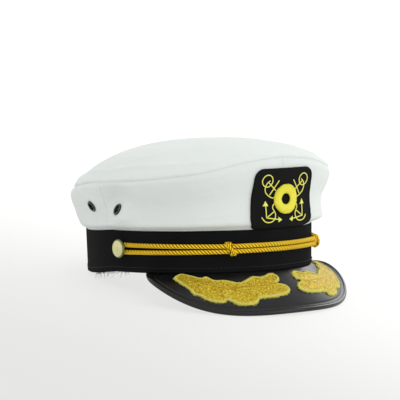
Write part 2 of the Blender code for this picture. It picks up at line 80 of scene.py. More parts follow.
def along(x, xs, ys):
    """Reads a table at x, through a cubic curve that passes each row and lies level at both ends."""
    slope = np.gradient(ys, xs)
    slope[[0, -1]] = 0
    x = np.clip(x, xs[0], xs[-1])
    row = np.clip(np.searchsorted(xs, x, side="right") - 1, 0, len(xs) - 2)
    width = xs[row + 1] - xs[row]
    u = (x - xs[row]) / width
    start = (1 + 2 * u) * (1 - u) ** 2 * ys[row] + u * (1 - u) ** 2 * width * slope[row]
    end = u * u * (3 - 2 * u) * ys[row + 1] + u * u * (u - 1) * width * slope[row + 1]
    return start + end


def sag(turn):
    """How far the band's lower edge hangs below its own plane."""
    return BAND_SAG * along(np.degrees(np.abs(turn)), SAG[0], SAG[1])


def closer_at_ends(count, even=0.45):
    """From 0 to 1 in steps that shrink at both ends: even times a ramp, the rest times half a cosine."""
    u = np.linspace(0, 1, count)
    return even * u + (1 - even) * (1 - np.cos(np.pi * u)) / 2


def unit(ways):
    """Each way divided by its own length."""
    return ways / np.linalg.norm(ways, axis=-1, keepdims=True)


def run_along(line):
    """Distance along a line from its first point: the running sum of its chords."""
    return np.concatenate([[0], np.cumsum(np.linalg.norm(np.diff(line, axis=0), axis=1))])


def columns(*values):
    """Values stretched to one shape and set side by side on a last axis."""
    return np.stack(np.broadcast_arrays(*values), -1)


def standing(plan, height):
    """A plan's x and y with a height for each."""
    return columns(plan[..., 0], plan[..., 1], height)


def outline(turn, out):
    """The band's oval, -(width/2 sin turn, length/2 cos turn), moved out square to itself."""
    way = -columns(np.sin(turn), np.cos(turn))
    return way * BAND_HALF + unit(way / BAND_HALF) * np.asarray(out)[..., None]


def round_length(turn):
    """Length round the oval for each radian of turn: hypot(width/2 cos turn, length/2 sin turn)."""
    return np.hypot(BAND_WIDTH / 2 * np.cos(turn), BAND_LENGTH / 2 * np.sin(turn))


def way_round(turn):
    """Distance round the oval from the front, the running sum of its chords."""
    turns = np.linspace(-math.pi, math.pi, 1441)
    total = run_along(outline(turns, 0))
    return np.interp(turn, turns, total - total[len(turns) // 2])


def at_rest(points):
    """The cap's frame to the table's: a turn by the lean about X, then the move to REST_PLACE."""
    turn = np.array([[1, 0, 0], [0, math.cos(LEAN), math.sin(LEAN)], [0, -math.sin(LEAN), math.cos(LEAN)]])
    return points @ turn.T + REST_PLACE


def new_piece(name, corners, faces):
    """A smooth mesh of faces between corners, which are leaned onto the table, as a piece at the origin."""
    mesh = bpy.data.meshes.new(name)
    mesh.from_pydata(at_rest(corners), [], faces)
    mesh.shade_smooth()
    piece = bpy.data.objects.new(name, mesh)
    bpy.context.scene.collection.objects.link(piece)
    return piece


def surface(name, points, around=False, hoop=False, flat=None, keep=None, peak=None, shade=None):
    """Quads (i, j), (i+1, j), (i+1, j+1), (i, j+1) over a grid, wrapped round where asked; flat is their UVs.

    A peak closes the first row with a fan, and the two ends of a bar are closed with flat faces.
    """
    across, rows = points.shape[:2]
    i, j = np.meshgrid(np.arange(across - (not around)), np.arange(rows - (not hoop)), indexing="ij")
    corner_i = np.stack([i, i + 1, i + 1, i], -1)
    corner_j = np.stack([j, j, j + 1, j + 1], -1)
    faces = ((corner_i % across) * rows + corner_j % rows).reshape(-1, 4)
    chosen = np.ones(len(faces), bool) if keep is None else keep.reshape(-1)[faces].all(1)
    corners = points.reshape(-1, 3)
    used, faces = np.unique(faces[chosen], return_inverse=True)
    faces = faces.reshape(-1, 4).tolist()
    if peak is not None:
        first = np.arange(across) * rows
        faces += [(len(used), b, a) for a, b in zip(first, np.roll(first, -1))]
        corners = np.vstack([corners, [peak]])
        used = np.append(used, len(corners) - 1)
    elif hoop and not around:
        first = np.arange(rows)
        faces += [first.tolist(), (first[::-1] + (across - 1) * rows).tolist()]
    piece = new_piece(name, corners[used], faces)
    if flat is not None:
        uv = flat[corner_i, corner_j].reshape(-1, 4, 2)[chosen].reshape(-1, 2)
        if peak is not None:
            ends = flat[:, 0]
            fan = np.stack([np.tile(ends.mean(0), (across, 1)), ends[1:], ends[:-1]], 1)
            uv = np.vstack([uv, fan.reshape(-1, 2)])
        elif hoop and not around:
            uv = np.vstack([uv, flat[0, :rows], flat[-1, :rows][::-1]])
        piece.data.uv_layers.new(name="cloth").data.foreach_set("uv", uv.astype(np.float32).ravel())
    if shade is not None:
        values = np.append(shade.reshape(-1), 0.0)[used].astype(np.float32)
        piece.data.attributes.new("shade", "FLOAT", "POINT").data.foreach_set("value", values)
    return piece


def sew_on(piece, look, slot, *nodes):
    """Gives a piece its material and its body, and hides the solids that it stands for."""
    piece.data.materials.append(look)
    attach(piece, "root")
    if nodes:
        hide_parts(*nodes)
    return piece


def add_node(tree, kind, inputs=(), **settings):
    """A shader node with its settings, each input given a value or a link."""
    made = tree.nodes.new("ShaderNode" + kind)
    for key, value in settings.items():
        setattr(made, key, value)
    for key, value in dict(inputs).items():
        if isinstance(value, bpy.types.NodeSocket):
            tree.links.new(value, made.inputs[key])
        else:
            made.inputs[key].default_value = value
    return made


def calc(tree, operation, *values):
    """One sum, product or other operation on values or links."""
    return add_node(tree, "Math", dict(enumerate(values)), operation=operation).outputs[0]


def noise(tree, place, scale, detail):
    """Soft noise between 0 and 1, its blotches about 1/scale wide."""
    return add_node(tree, "TexNoise", {"Vector": place, "Scale": scale, "Detail": detail}).outputs["Fac"]


def tint(tree, share, low, high):
    """A colour that goes from low to high with the share: low (1 - share) + high share."""
    low, high = (end if isinstance(end, bpy.types.NodeSocket) else (*end, 1) for end in (low, high))
    return add_node(tree, "Mix", {0: share, 6: low, 7: high}, data_type="RGBA").outputs[2]


def bump(tree, height, strength, distance, **under):
    """Normals that lean with the slope of a height, over the Normal under them if one is given."""
    inputs = {"Height": height, "Strength": strength, "Distance": distance, **under}
    return add_node(tree, "Bump", inputs).outputs[0]


def wire(tree, shader, **patterns):
    """Links what varies over the surface to the shader's sockets."""
    for key, value in patterns.items():
        tree.links.new(value, shader.inputs[key.replace("_", " ")])


def finish(name, **values):
    """A material with these values on its shader's own sockets, and the surface's Object and UV places."""
    made = bpy.data.materials.new(name)
    made.use_nodes = True
    shader = made.node_tree.nodes["Principled BSDF"]
    for key, value in values.items():
        shader.inputs[key.replace("_", " ")].default_value = value
    where = add_node(made.node_tree, "TexCoord").outputs
    return made, made.node_tree, shader, where["Object"], where["UV"]


def group_of(name, inputs, outputs):
    """An empty shader node group with these named sockets, each a Vector or a Float."""
    tree = bpy.data.node_groups.new(name, "ShaderNodeTree")
    for in_out, sockets in (("INPUT", inputs), ("OUTPUT", outputs)):
        for label, kind in sockets.items():
            tree.interface.new_socket(name=label, in_out=in_out, socket_type="NodeSocket" + kind)
    return tree, tree.nodes.new("NodeGroupInput").outputs, tree.nodes.new("NodeGroupOutput").inputs


def woven_group():
    """Plain is the sine of one thread count times the other's, and Twill a sine along their diagonal."""
    tree, given, out = group_of(
        "woven threads", {"Cloth": "Vector", "Thread": "Float"}, {"Plain": "Float", "Twill": "Float"}
    )
    along_x, along_y, _ = add_node(tree, "SeparateXYZ", {0: given["Cloth"]}).outputs
    per = calc(tree, "DIVIDE", math.pi, given["Thread"])
    warp, weft = calc(tree, "MULTIPLY", along_x, per), calc(tree, "MULTIPLY", along_y, per)
    plain = calc(tree, "MULTIPLY", calc(tree, "SINE", warp), calc(tree, "SINE", weft))
    tree.links.new(plain, out["Plain"])
    tree.links.new(calc(tree, "SINE", calc(tree, "ADD", warp, weft)), out["Twill"])
    return tree


WOVEN = woven_group()


def cloth_finish(name, dark, light, weave, thread, relief, crease, **values):
    """Woven cloth: two near colours in soft blotches, the weave as fine relief, slow unevenness under it."""
    made, tree, shader, place, cloth = finish(name, **values)
    woven = add_node(tree, "Group", {"Cloth": cloth, "Thread": thread}, node_tree=WOVEN).outputs[weave]
    slow = bump(tree, noise(tree, place, 95.0, 2.0), 1.0, crease)
    colour = tint(tree, noise(tree, place, 38.0, 3.0), dark, light)
    wire(tree, shader, Base_Color=colour, Normal=bump(tree, woven, 0.6, relief, Normal=slow))
    return made


BLACK_TWILL = cloth_finish(
    "black twill", (0.005, 0.005, 0.005), (0.009, 0.009, 0.010), "Twill", 0.0005, 0.00012, 0.0004,
    Roughness=0.9, Specular_IOR_Level=0.07,
)
band_turns = np.linspace(-math.pi, math.pi, 361)[:-1]
level = BAND_HEIGHT * (1 - closer_at_ends(26))
from_edge = np.minimum(level, BAND_HEIGHT - level)
rounding = BAND_WALL / 2 * (1 - np.sqrt(1 - np.clip(1 - from_edge / BAND_FOLD, 0, 1) ** 2))
hem = HEM_THICKNESS * (1 - ease((level - HEM_HEIGHT) / HEM_EDGE))
taper = BAND_TAPER * (1 - level / BAND_HEIGHT)
outer, inner = columns(hem - rounding - taper, level), columns(rounding - BAND_WALL - taper, level)
section = np.concatenate([outer, inner[-2:0:-1]])
waver = UPPER_WAVER * (np.sin(3 * band_turns + 0.6) + 0.6 * np.sin(7 * band_turns + 2.0))[:, None]
band_plan = outline(band_turns[:, None], section[:, 0] + WALL_WAVER * np.sin(11 * band_turns + 1.3)[:, None])
up = section[:, 1] / BAND_HEIGHT
band_level = section[:, 1] + waver * up**2 - sag(band_turns)[:, None] * (1 - (1 - SAG_AT_TOP) * up)
band_flat = columns(
    way_round(np.append(band_turns, math.pi))[:, None], run_along(np.vstack([section, section[:1]]))
)
band = surface("band_cloth", standing(band_plan, band_level), around=True, hoop=True, flat=band_flat)
corners = np.empty(len(band.data.vertices) * 3, np.float32)
band.data.vertices.foreach_get("co", corners)
corners[2::3] = np.maximum(corners[2::3], TABLE_CLEARANCE)
band.data.vertices.foreach_set("co", corners)
sew_on(band, BLACK_TWILL, "black_twill", "band")

# ---- Hem stitches and loose threads
# The band's hem is closed by one row of black lockstitch. Along the wearer's right its raw edge sheds a
# fringe of short black threads, a few of them long.
STITCH = 0.0027
STITCH_APART = 1.2
STITCH_HEIGHT = 0.0042
STITCH_RADIUS = 0.00028
FRINGE = 130
FRINGE_RADIUS = 0.00012
BLACK_THREAD, tree, shader, place, _ = finish(
    "black thread", Base_Color=(0.012, 0.012, 0.013, 1), Roughness=0.6, Specular_IOR_Level=0.3
)
wire(tree, shader, Normal=bump(tree, noise(tree, place, 2600.0, 1.0), 0.4, 0.0001))


def threads(name, paths, radius, sides=6):
    """One mesh of round threads: each row of paths is a line, with a ring square to it at each point."""
    ways = unit(np.gradient(paths, axis=1))
    across = unit(np.cross(ways, np.eye(3)[np.abs(ways).mean(1).argmin(1)][:, None]))
    angle = np.linspace(0, 2 * math.pi, sides, endpoint=False)[:, None]
    side = across[:, :, None] * np.cos(angle) + np.cross(across, ways)[:, :, None] * np.sin(angle)
    points = paths[:, :, None] + side * np.broadcast_to(radius, paths.shape[:2])[..., None, None]
    count, rings = paths.shape[:2]
    ring, edge = np.meshgrid(np.arange(rings - 1), np.arange(sides), indexing="ij")
    after = (edge + 1) % sides
    quad = np.stack([ring * sides + edge, ring * sides + after, (ring + 1) * sides + after,
                     (ring + 1) * sides + edge], -1).reshape(-1, 4)
    ends = np.arange(sides)
    caps = np.stack([ends[::-1], ends + (rings - 1) * sides])
    first = (np.arange(count) * rings * sides)[:, None, None]
    faces = (quad + first).reshape(-1, 4).tolist() + (caps + first).reshape(-1, sides).tolist()
    return new_piece(name, points.reshape(-1, 3), faces)


round_all = 2 * float(way_round(math.pi))
stitch_middles = np.linspace(0, round_all, int(round_all / (STITCH * STITCH_APART)), endpoint=False)
along_stitch = np.linspace(-0.5, 0.5, 5)
stitch_places = (stitch_middles - round_all / 2)[:, None] + along_stitch * STITCH
stitch_turns = np.interp(stitch_places, way_round(band_turns), band_turns)
bulge = HEM_THICKNESS - BAND_TAPER + 0.0002 * np.cos(math.pi * along_stitch)
stitch_lines = standing(outline(stitch_turns, bulge), STITCH_HEIGHT - sag(stitch_turns))
hem_stitches = threads("hem_stitches", stitch_lines, STITCH_RADIUS * np.cos(1.8 * along_stitch))
sew_on(hem_stitches, BLACK_THREAD, "black_twill")
fray = np.random.default_rng(5)
start = np.radians(fray.uniform(80, 108, FRINGE))[:, None]
chance = fray.random(FRINGE)[:, None]
length = 0.0012 + 0.0024 * chance + 0.0060 * chance**12
down = np.linspace(0, 1, 9)
sway = fray.normal(0, 0.45, FRINGE)[:, None] * down + fray.normal(0, 0.25, FRINGE)[:, None] * down**2
drop = 0.0006 - length * down * (0.9 - 0.35 * fray.random(FRINGE)[:, None] * down)
out = fray.random(FRINGE)[:, None] * 0.5 * down * length - BAND_TAPER - 0.0006
fringe_lines = standing(outline(start - sway * length / round_length(start), out), drop - sag(start))
fringe = threads("hem_fringe", fringe_lines, FRINGE_RADIUS * (1 - 0.5 * down), sides=4)
sew_on(fringe, BLACK_THREAD, "black_twill")

# ---- Crown side
# Four quarters of white cotton, cut tall in front and low behind, sewn together at the front, back and sides
# and onto the band. Each edge rolls in to its seam, and the cloth puckers along the side seams.
CLOTH_WALL = 0.0011
CROWN_RISE = 0.0565
CROWN_HANG = 0.015
CROWN_SEAT = 0.0004
GAP = 0.0003
SIDE_SEAM_TURN = math.radians(90.5)
SIDE_SEAM_DIP = 0.0026
SIDE_SEAM_REACH = 0.007
SEAM_ROLL = 0.0014
SEAM_SINK = 0.0008
EYELET_FACET = 0.007
EYELET_FADE = 0.018
EYELET_FOOT = 0.25
BACK_START = math.radians(60)
BACK_BLEND = math.radians(65)
EYELET_CUT = 0.0038
FOLD_RADIUS = 0.097
FOLD_HEIGHT = 0.042
SEAM = np.array([
    # turn in degrees, rise, hang
    (0, 1.000, 0.57), (10, 0.982, 0.62), (20, 0.946, 0.74), (30, 0.882, 0.90), (40, 0.812, 1.03),
    (52, 0.765, 1.00), (65, 0.724, 0.95), (80, 0.698, 0.90), (95, 0.674, 0.92), (115, 0.605, 0.94),
    (135, 0.535, 0.84), (180, 0.510, 0.80),
]).T
SWELL = np.array([
    # height, out at the front, out at the back
    (0.00, 0.00, 0.00), (0.07, 0.48, 0.28), (0.20, 0.57, 0.48), (0.34, 0.53, 0.63), (0.48, 0.56, 0.75),
    (0.64, 0.75, 0.90), (0.80, 0.94, 0.97), (0.92, 1.02, 0.90), (1.00, 0.95, 0.72),
]).T
EYELETS = {
    # turn in degrees, height share, out gained towards the back, upwards
    "front": (81.6, 0.43, -0.34, -0.52),
    "back": (98.7, 0.505, -0.12, 0.55),
}


def seam_rise(turn):
    """Height of the top seam over the band: the rise times its share at that turn."""
    return CROWN_RISE * along(np.degrees(np.abs(turn)), SEAM[0], SEAM[1])


def swell(turn, height):
    """How far the side stands out from the oval: the overhang times its share there, less the seat."""
    hang = CROWN_HANG * along(np.degrees(np.abs(turn)), SEAM[0], SEAM[2])
    back = ease((np.abs(turn) - BACK_START) / BACK_BLEND)
    share = along(height, SWELL[0], SWELL[1]) * (1 - back) + along(height, SWELL[0], SWELL[2]) * back
    return hang * share - CROWN_SEAT


def crown_side(turn, height, off=0.0):
    """The side's outer face: the swell, less a dip of exp(-distance^2) along each side seam.

    Round an eyelet it fades into a leaning flat, the swell at the eyelet plus tanh slopes across and up.
    """
    turn, height, off = np.broadcast_arrays(np.asarray(turn, float), height, off)
    out = swell(turn, height)
    for degrees, share, backwards, upwards in EYELETS.values():
        spot = math.radians(degrees)
        across = (np.abs(turn) - spot) * round_length(spot)
        above = (height - share) * seam_rise(spot)
        slopes = np.tanh(across / EYELET_FACET) * backwards + np.tanh(above / EYELET_FACET) * upwards
        from_facet = (np.hypot(across, above) - EYELET_FACET) / EYELET_FADE
        hold = (1 - ease(from_facet)) * ease(height / EYELET_FOOT)
        out = out + hold * (swell(spot, share) + EYELET_FACET * slopes - out)
    from_seam = (np.abs(turn) - SIDE_SEAM_TURN) * round_length(SIDE_SEAM_TURN) / SIDE_SEAM_REACH
    out = out - SIDE_SEAM_DIP * np.exp(-(from_seam**2)) * 4 * height * (1 - height)
    z = BAND_HEIGHT + GAP + seam_rise(turn) * height - sag(turn) * SAG_AT_TOP * (1 - height)
    return standing(outline(turn, out + off), z)


def rolled(distance, depth=0.14, roll=SEAM_ROLL):
    """The dip of cloth at a distance in from a sewn edge: depth times roll times (1 - distance/roll)^3."""
    return depth * roll * np.clip(1 - distance / roll, 0, 1) ** 3


SIDE_FOLDS = np.array([
    # turn in degrees, height, to turn, to height, width in mm, out in mm
    (84, 0.20, 93, 0.34, 2.6, -0.5),
    (88, 0.60, 96, 0.74, 2.2, -0.5),
    (93, 0.30, 100, 0.20, 2.4, -0.4),
    (101, 0.80, 108, 0.93, 2.4, -0.6),
    (106, 0.70, 114, 0.90, 2.6, -0.5),
    (72, 0.62, 79, 0.55, 3.0, -0.4),
    (20, 0.80, 44, 0.70, 5.0, 0.35),
    (-24, 0.82, -46, 0.68, 5.0, 0.35),
    (50, 0.34, 74, 0.30, 7.0, -0.45),
    (-50, 0.30, -74, 0.36, 7.0, -0.45),
    (-84, 0.22, -93, 0.36, 2.6, -0.5),
    (-88, 0.62, -95, 0.76, 2.2, -0.5),
    (-104, 0.76, -112, 0.92, 2.6, -0.5),
    (128, 0.55, 150, 0.62, 7.0, -0.5),
    (-126, 0.60, -152, 0.50, 7.0, -0.5),
])


def nearest_on(place, start, way):
    """The share of a way from start at which it comes nearest to each place, the point there, how far off."""
    share = np.clip(((place - start) @ way) / (way @ way), 0, 1)
    point = start + share[..., None] * way
    return share, point, np.linalg.norm(place - point, axis=-1)


def folds_at(place, spots, table):
    """The highest plus the lowest of a table's folds: out times exp(-(distance from its line / width)^2)."""
    high, low = np.zeros(place.shape[:-1]), np.zeros(place.shape[:-1])
    for start, end, (width, out) in zip(spots[:, 0], spots[:, 1], table[:, 4:] / 1000):
        fold = out * np.exp(-((nearest_on(place, start, end - start)[2] / width) ** 2))
        high, low = np.maximum(high, fold), np.minimum(low, fold)
    return high + low


def thicken(piece, thickness):
    """Gives a piece a wall, grown inwards from its face."""
    wall = piece.modifiers.new("wall", "SOLIDIFY")
    wall.thickness, wall.offset = thickness, -1


WHITE_COTTON = cloth_finish(
    "white cotton", (0.70, 0.742, 0.712), (0.74, 0.777, 0.752), "Plain", 0.00055, 0.00010, 0.0007,
    Roughness=0.95, Specular_IOR_Level=0.1,
)
QUARTERS = {
    "crown_front_right": (0.0, SIDE_SEAM_TURN, "crown_quarter_front_right"),
    "crown_back_right": (SIDE_SEAM_TURN, math.pi, "crown_quarter_back_right"),
    "crown_back_left": (-math.pi, -SIDE_SEAM_TURN, "crown_quarter_back_left"),
    "crown_front_left": (-SIDE_SEAM_TURN, 0.0, "crown_quarter_front_left"),
}
side_spots = SIDE_FOLDS[:, :4].reshape(-1, 2, 2) * (math.radians(1) * FOLD_RADIUS, FOLD_HEIGHT)
for name, (start, end, node) in QUARTERS.items():
    turns = start + (end - start) * closer_at_ends(170)[:, None]
    heights = 1 - closer_at_ends(64)[None, :]
    from_ends = np.minimum(turns - start, end - turns) * round_length(turns)
    from_top = (1 - heights) * seam_rise(turns)
    off = -rolled(from_ends) - rolled(from_top)
    off = off + folds_at(columns(turns * FOLD_RADIUS, heights * FOLD_HEIGHT), side_spots, SIDE_FOLDS)
    off[:, -1] -= SEAM_SINK
    points = crown_side(turns, heights, off)
    points[:, -1, 2] -= SEAM_SINK
    whole = np.ones(points.shape[:2], bool)
    for degrees, share, _, _ in EYELETS.values():
        for side in (1, -1):
            spot = crown_side(side * math.radians(degrees), share)
            whole &= np.linalg.norm(points - spot, axis=-1) > EYELET_CUT
    quarter = surface(name, points, flat=columns(way_round(turns), from_top), keep=whole)
    thicken(quarter, CLOTH_WALL)
    sew_on(quarter, WHITE_COTTON, "white_cotton", node)
    tall = float(seam_rise((start + end) / 2))

# ---- Crown top
# One oval panel of the same cotton, its edge rolled under to the top seam. It is unlined and soft, so it
# keeps long shallow creases above the seam where it was folded in its packing.
DOME_RISE = 0.0713
DOME_FORWARD = 0.025
DOME_SKIRT = 0.0015
DOME_BOW = (0.80, 0.84)
DOME_EDGE = 0.02
TOP_FOLDS = np.array([
    # turn in degrees, share, to turn, to share, width in mm, up in mm
    (106, 0.945, 89, 0.935, 2.4, 1.0),
    (89, 0.935, 65, 0.90, 2.6, 1.2),
    (65, 0.90, 52, 0.915, 2.6, 1.2),
    (52, 0.915, 36, 0.94, 2.6, 1.0),
    (36, 0.94, 12, 0.95, 3.0, 0.6),
    (10, 0.968, -16, 0.975, 2.0, 0.6),
    (94, 0.88, 85, 0.75, 3.0, 1.1),
    (82, 0.84, 70, 0.72, 3.4, 0.8),
    (128, 0.88, 114, 0.965, 3.0, -1.0),
    (116, 0.93, 100, 0.965, 2.2, -0.8),
    (134, 0.935, 126, 0.96, 2.4, 0.8),
    (30, 0.60, 6, 0.74, 9.0, 0.6),
    (-30, 0.90, -60, 0.93, 3.5, 0.6),
    (-96, 0.88, -66, 0.92, 3.5, 0.6),
    (-40, 0.50, -90, 0.62, 12.0, -0.8),
    (60, 0.45, 110, 0.55, 12.0, -0.8),
    (150, 0.60, -160, 0.70, 10.0, -0.8),
    (170, 0.90, 140, 0.86, 4.0, 0.6),
    (-140, 0.86, -172, 0.92, 4.0, 0.6),
])


def crown_dome(turn, share):
    """From the peak to the seam: plan in a straight line, height as (1 - share^2.7)^bow of the peak's."""
    turn, share = np.broadcast_arrays(np.asarray(turn, float), share)
    edge = crown_side(turn, 1.0) + (0, 0, GAP + DOME_SKIRT)
    peak = np.array((0, -DOME_FORWARD, BAND_HEIGHT + DOME_RISE))
    point = peak + (edge - peak) * share[..., None]
    bow = DOME_BOW[0] + (DOME_BOW[1] - DOME_BOW[0]) * ease(np.abs(turn) / math.radians(90))
    point[..., 2] = edge[..., 2] + (peak[2] - edge[..., 2]) * (1 - share**2.7) ** bow
    return point


def grid_normals(points):
    """Unit normals of a grid: the cross product of its two gradients."""
    normal = np.cross(np.gradient(points, axis=0), np.gradient(points, axis=1))
    return normal / np.maximum(np.linalg.norm(normal, axis=-1, keepdims=True), 1e-12)


def lifted(points, distance):
    """A grid of points moved along its normals."""
    return points + np.asarray(distance)[..., None] * grid_normals(points)


top_turns = np.linspace(-math.pi, math.pi, 361)[:, None]
shares = np.concatenate([np.linspace(0.06, 0.9, 46), 0.9 + 0.1 * np.sin(np.linspace(0.05, math.pi / 2, 24))])
skirt_rise = DOME_SKIRT * (1 - np.linspace(0, 1, 5)[1:])
skirt = crown_side(top_turns, 1.0, -rolled(skirt_rise)) + columns(0.0, 0.0, skirt_rise)
dome = np.concatenate([crown_dome(top_turns, shares), skirt], 1)
plan_spots = TOP_FOLDS[:, :4].reshape(-1, 2, 2)
fold_ends = crown_dome(np.radians(plan_spots[..., 0]), plan_spots[..., 1])[..., :2]
fade = np.concatenate([ease((1 - shares) / DOME_EDGE), 0 * skirt_rise])
dome = lifted(dome, folds_at(dome[..., :2], fold_ends, TOP_FOLDS) * fade)[:-1]
dome_flat = np.concatenate([dome, dome[:1]])[..., :2]
crown_top = surface("crown_top_cloth", dome, around=True, flat=dome_flat, peak=crown_dome(0.0, 0.0))
thicken(crown_top, CLOTH_WALL)
sew_on(crown_top, WHITE_COTTON, "white_cotton", "crown_top")

# ---- Eyelets
# Dark enamelled brass vents, two to a side, each clenched through the cloth of its own quarter: a domed
# flange outside, a barrel through the hole and a flat washer inside.
EYELET_DIAMETER = 0.010
EYELET_HOLE = 0.0065
EYELET_FLANGE = 0.0009
WASHER_RADIUS = EYELET_DIAMETER * 0.42
HANDS = ((1, "right"), (-1, "left"))
DARK_METAL, tree, shader, place, _ = finish(
    "dark enamelled metal", Base_Color=(0.012, 0.012, 0.013, 1), Metallic=0.2, Roughness=0.22, Coat_Weight=0.4
)


def ranged(tree, value, low, high, from_low=0.0, from_high=1.0, smooth=False):
    """A value's way between from_low and from_high, held at both ends, as a number from low to high."""
    inputs = {"Value": value, "From Min": from_low, "From Max": from_high, "To Min": low, "To Max": high}
    kind = "SMOOTHSTEP" if smooth else "LINEAR"
    return add_node(tree, "MapRange", inputs, interpolation_type=kind).outputs[0]


wire(tree, shader, Roughness=ranged(tree, noise(tree, place, 900.0, 3.0), 0.16, 0.34))


def turned_on(profile, middle, normal, steps):
    """A profile of (radius, height) turned round: middle + r (cos a side + sin a upright) + h normal."""
    normal = unit(normal)
    side = unit(np.cross((0.0, 0.0, 1.0), normal))
    angle = -np.linspace(0, 2 * math.pi, steps, endpoint=False)[:, None, None]
    r, h = (np.asarray(profile, float).T)[:, :, None]
    return middle + r * (np.cos(angle) * side + np.sin(angle) * np.cross(normal, side)) + h * normal


hole = EYELET_HOLE / 2
rim = (EYELET_DIAMETER / 2 - hole) / 2
lap = np.linspace(0, math.pi, 13)
eyelet_profile = np.vstack([
    # the domed flange outside, then back through the hole and round the washer inside
    columns(hole + rim - rim * np.cos(lap), 0.0002 + EYELET_FLANGE * np.sin(lap)),
    [(hole + 0.0008, 0.0001), (hole + 0.0006, -0.0021), (WASHER_RADIUS, -0.0022),
     (WASHER_RADIUS, -0.0026), (hole, -0.0026), (hole, -0.001)],
])
for side, hand in HANDS:
    for end, (degrees, share, _, _) in EYELETS.items():
        spot = side * math.radians(degrees)
        patch = crown_side(spot + np.array([[-0.01], [0.0], [0.01]]), share + np.array([0.02, 0.0, -0.02]))
        normal = np.cross(patch[2, 1] - patch[0, 1], patch[1, 2] - patch[1, 0])
        grid = turned_on(eyelet_profile, patch[1, 1], normal, 40)
        node = f"eyelet_{end}_{hand}"
        sew_on(surface(node + "_ring", grid, around=True, hoop=True), DARK_METAL, "dark_metal", node)

# ---- Visor
# A curved stiff board covered in black vinyl, sewn under the front of the band. A groove is pressed round it
# just inside the binding, a strip of softer, glossier vinyl rolled over the edge.
VISOR_TURN = math.radians(69.5)
VISOR_RUN = 0.0285
VISOR_DROP = 0.0356
VISOR_LIFT = 0.0049
VISOR_BOARD = 0.002
VISOR_CAMBER = 0.25
BINDING_WIDTH = 0.0038
BINDING_END = 0.98
BINDING_LAP = BINDING_WIDTH * 0.55
GROOVE_IN = 0.0056
GROOVE_DEPTH = 0.0005
GROOVE_WIDTH = 0.0005
BOARD_ROLL = (0.8, 0.0008)
VISOR_FLANGE = ((0.0022, 0.0008), (0.0008, 0.0006))


def visor_section(turn):
    """Run out from the band and drop below it of the edge: each a length times (1 - share^a)^b."""
    share = np.clip(np.abs(turn) / VISOR_TURN, 0, 1)
    run = BAND_TAPER + VISOR_RUN * (1 - share**8) ** 0.95
    drop = GAP + VISOR_DROP * (1 - share**3.9) ** 2.2 - VISOR_LIFT * (1 - share**2) ** 2
    return run, drop


def visor_face(turn, reach):
    """The upper face: out by run times reach, down by the drop times a mix of reach and reach squared."""
    turn, reach = np.broadcast_arrays(np.asarray(turn, float), reach)
    run, drop = visor_section(turn)
    fall = (1 - VISOR_CAMBER) * reach + VISOR_CAMBER * reach * reach
    z = -GAP - (drop - GAP) * fall
    return standing(outline(turn, run * reach - BAND_TAPER), z)


def grained_group():
    """Pebbled vinyl: the smoothed distance to the nearest of many scattered points, blurred by noise."""
    tree, given, out = group_of("vinyl grain", {"Place": "Vector", "Scale": "Float"}, {"Height": "Float"})
    place, scale = given["Place"], given["Scale"]
    cells = add_node(tree, "TexVoronoi", {"Vector": place, "Scale": scale}, feature="SMOOTH_F1")
    pebbles = calc(tree, "MULTIPLY", cells.outputs["Distance"], 0.6)
    tree.links.new(calc(tree, "ADD", pebbles, noise(tree, place, 260.0, 2.0)), out["Height"])
    return tree


GRAIN = grained_group()


def vinyl_finish(name, grain, relief, low, high, gloss):
    """Black vinyl: the grain as relief, and a roughness that drifts between low and high in soft patches."""
    made, tree, shader, place, _ = finish(
        name, Base_Color=(0.006, 0.006, 0.007, 1), Specular_IOR_Level=gloss
    )
    pebbles = add_node(tree, "Group", {"Place": place, "Scale": grain}, node_tree=GRAIN).outputs["Height"]
    drift = ranged(tree, noise(tree, place, 45.0, 2.0), low, high)
    wire(tree, shader, Normal=bump(tree, pebbles, 0.5, relief), Roughness=drift)
    return made


BLACK_VINYL = vinyl_finish("black grained vinyl", 1100.0, 0.00008, 0.24, 0.32, 0.27)
BINDING_VINYL = vinyl_finish("black binding vinyl", 1500.0, 0.00004, 0.16, 0.24, 0.33)


def spread_turns(most, count):
    """Turns from -most to most, closer together at both ends: most times a sine."""
    return most * np.sin(np.linspace(-math.pi / 2, math.pi / 2, count))


def from_line(points, line):
    """Distance from each point of a grid to the nearest point of a line."""
    return np.linalg.norm(points[:, :, None] - line, axis=-1).min(2)


visor_turns = spread_turns(VISOR_TURN, 221)
visor_rim = visor_face(spread_turns(VISOR_TURN, 441), 1.0)
reaches = np.linspace(0, 1, 81)
from_rim = from_line(visor_face(visor_turns[:, None], reaches), visor_rim)
board_end = np.array([np.interp(BINDING_LAP, d[::-1], reaches[::-1]) for d in from_rim])
board_end = np.maximum(board_end, BAND_TAPER / 2 / visor_section(visor_turns)[0])[:, None]
board = visor_face(visor_turns[:, None], board_end * np.linspace(0, 1, 60))
from_rim = from_line(board, visor_rim)
wide = ease((visor_section(visor_turns)[0][:, None] * board_end - GROOVE_IN) / GROOVE_IN)
groove = -GROOVE_DEPTH * np.exp(-(((from_rim - GROOVE_IN) / GROOVE_WIDTH) ** 2))
board = lifted(board, (groove - rolled(from_rim - BINDING_LAP, *BOARD_ROLL)) * wide)
flange = [standing(outline(visor_turns, -BAND_TAPER - back), rise - GAP) for back, rise in VISOR_FLANGE]
visor = surface("visor_cover", np.concatenate([np.stack(flange, 1), board], 1))
thicken(visor, VISOR_BOARD * 0.9)
sew_on(visor, BLACK_VINYL, "black_vinyl", "visor")


def square_to(path, guide, closed=False):
    """Two unit ways square to each point of a path: one nearest the guide, and the other beside it."""
    way = np.roll(path, -1, 0) - np.roll(path, 1, 0) if closed else np.gradient(path, axis=0)
    side = unit(np.cross(unit(way), guide))
    return np.cross(side, unit(way)), side


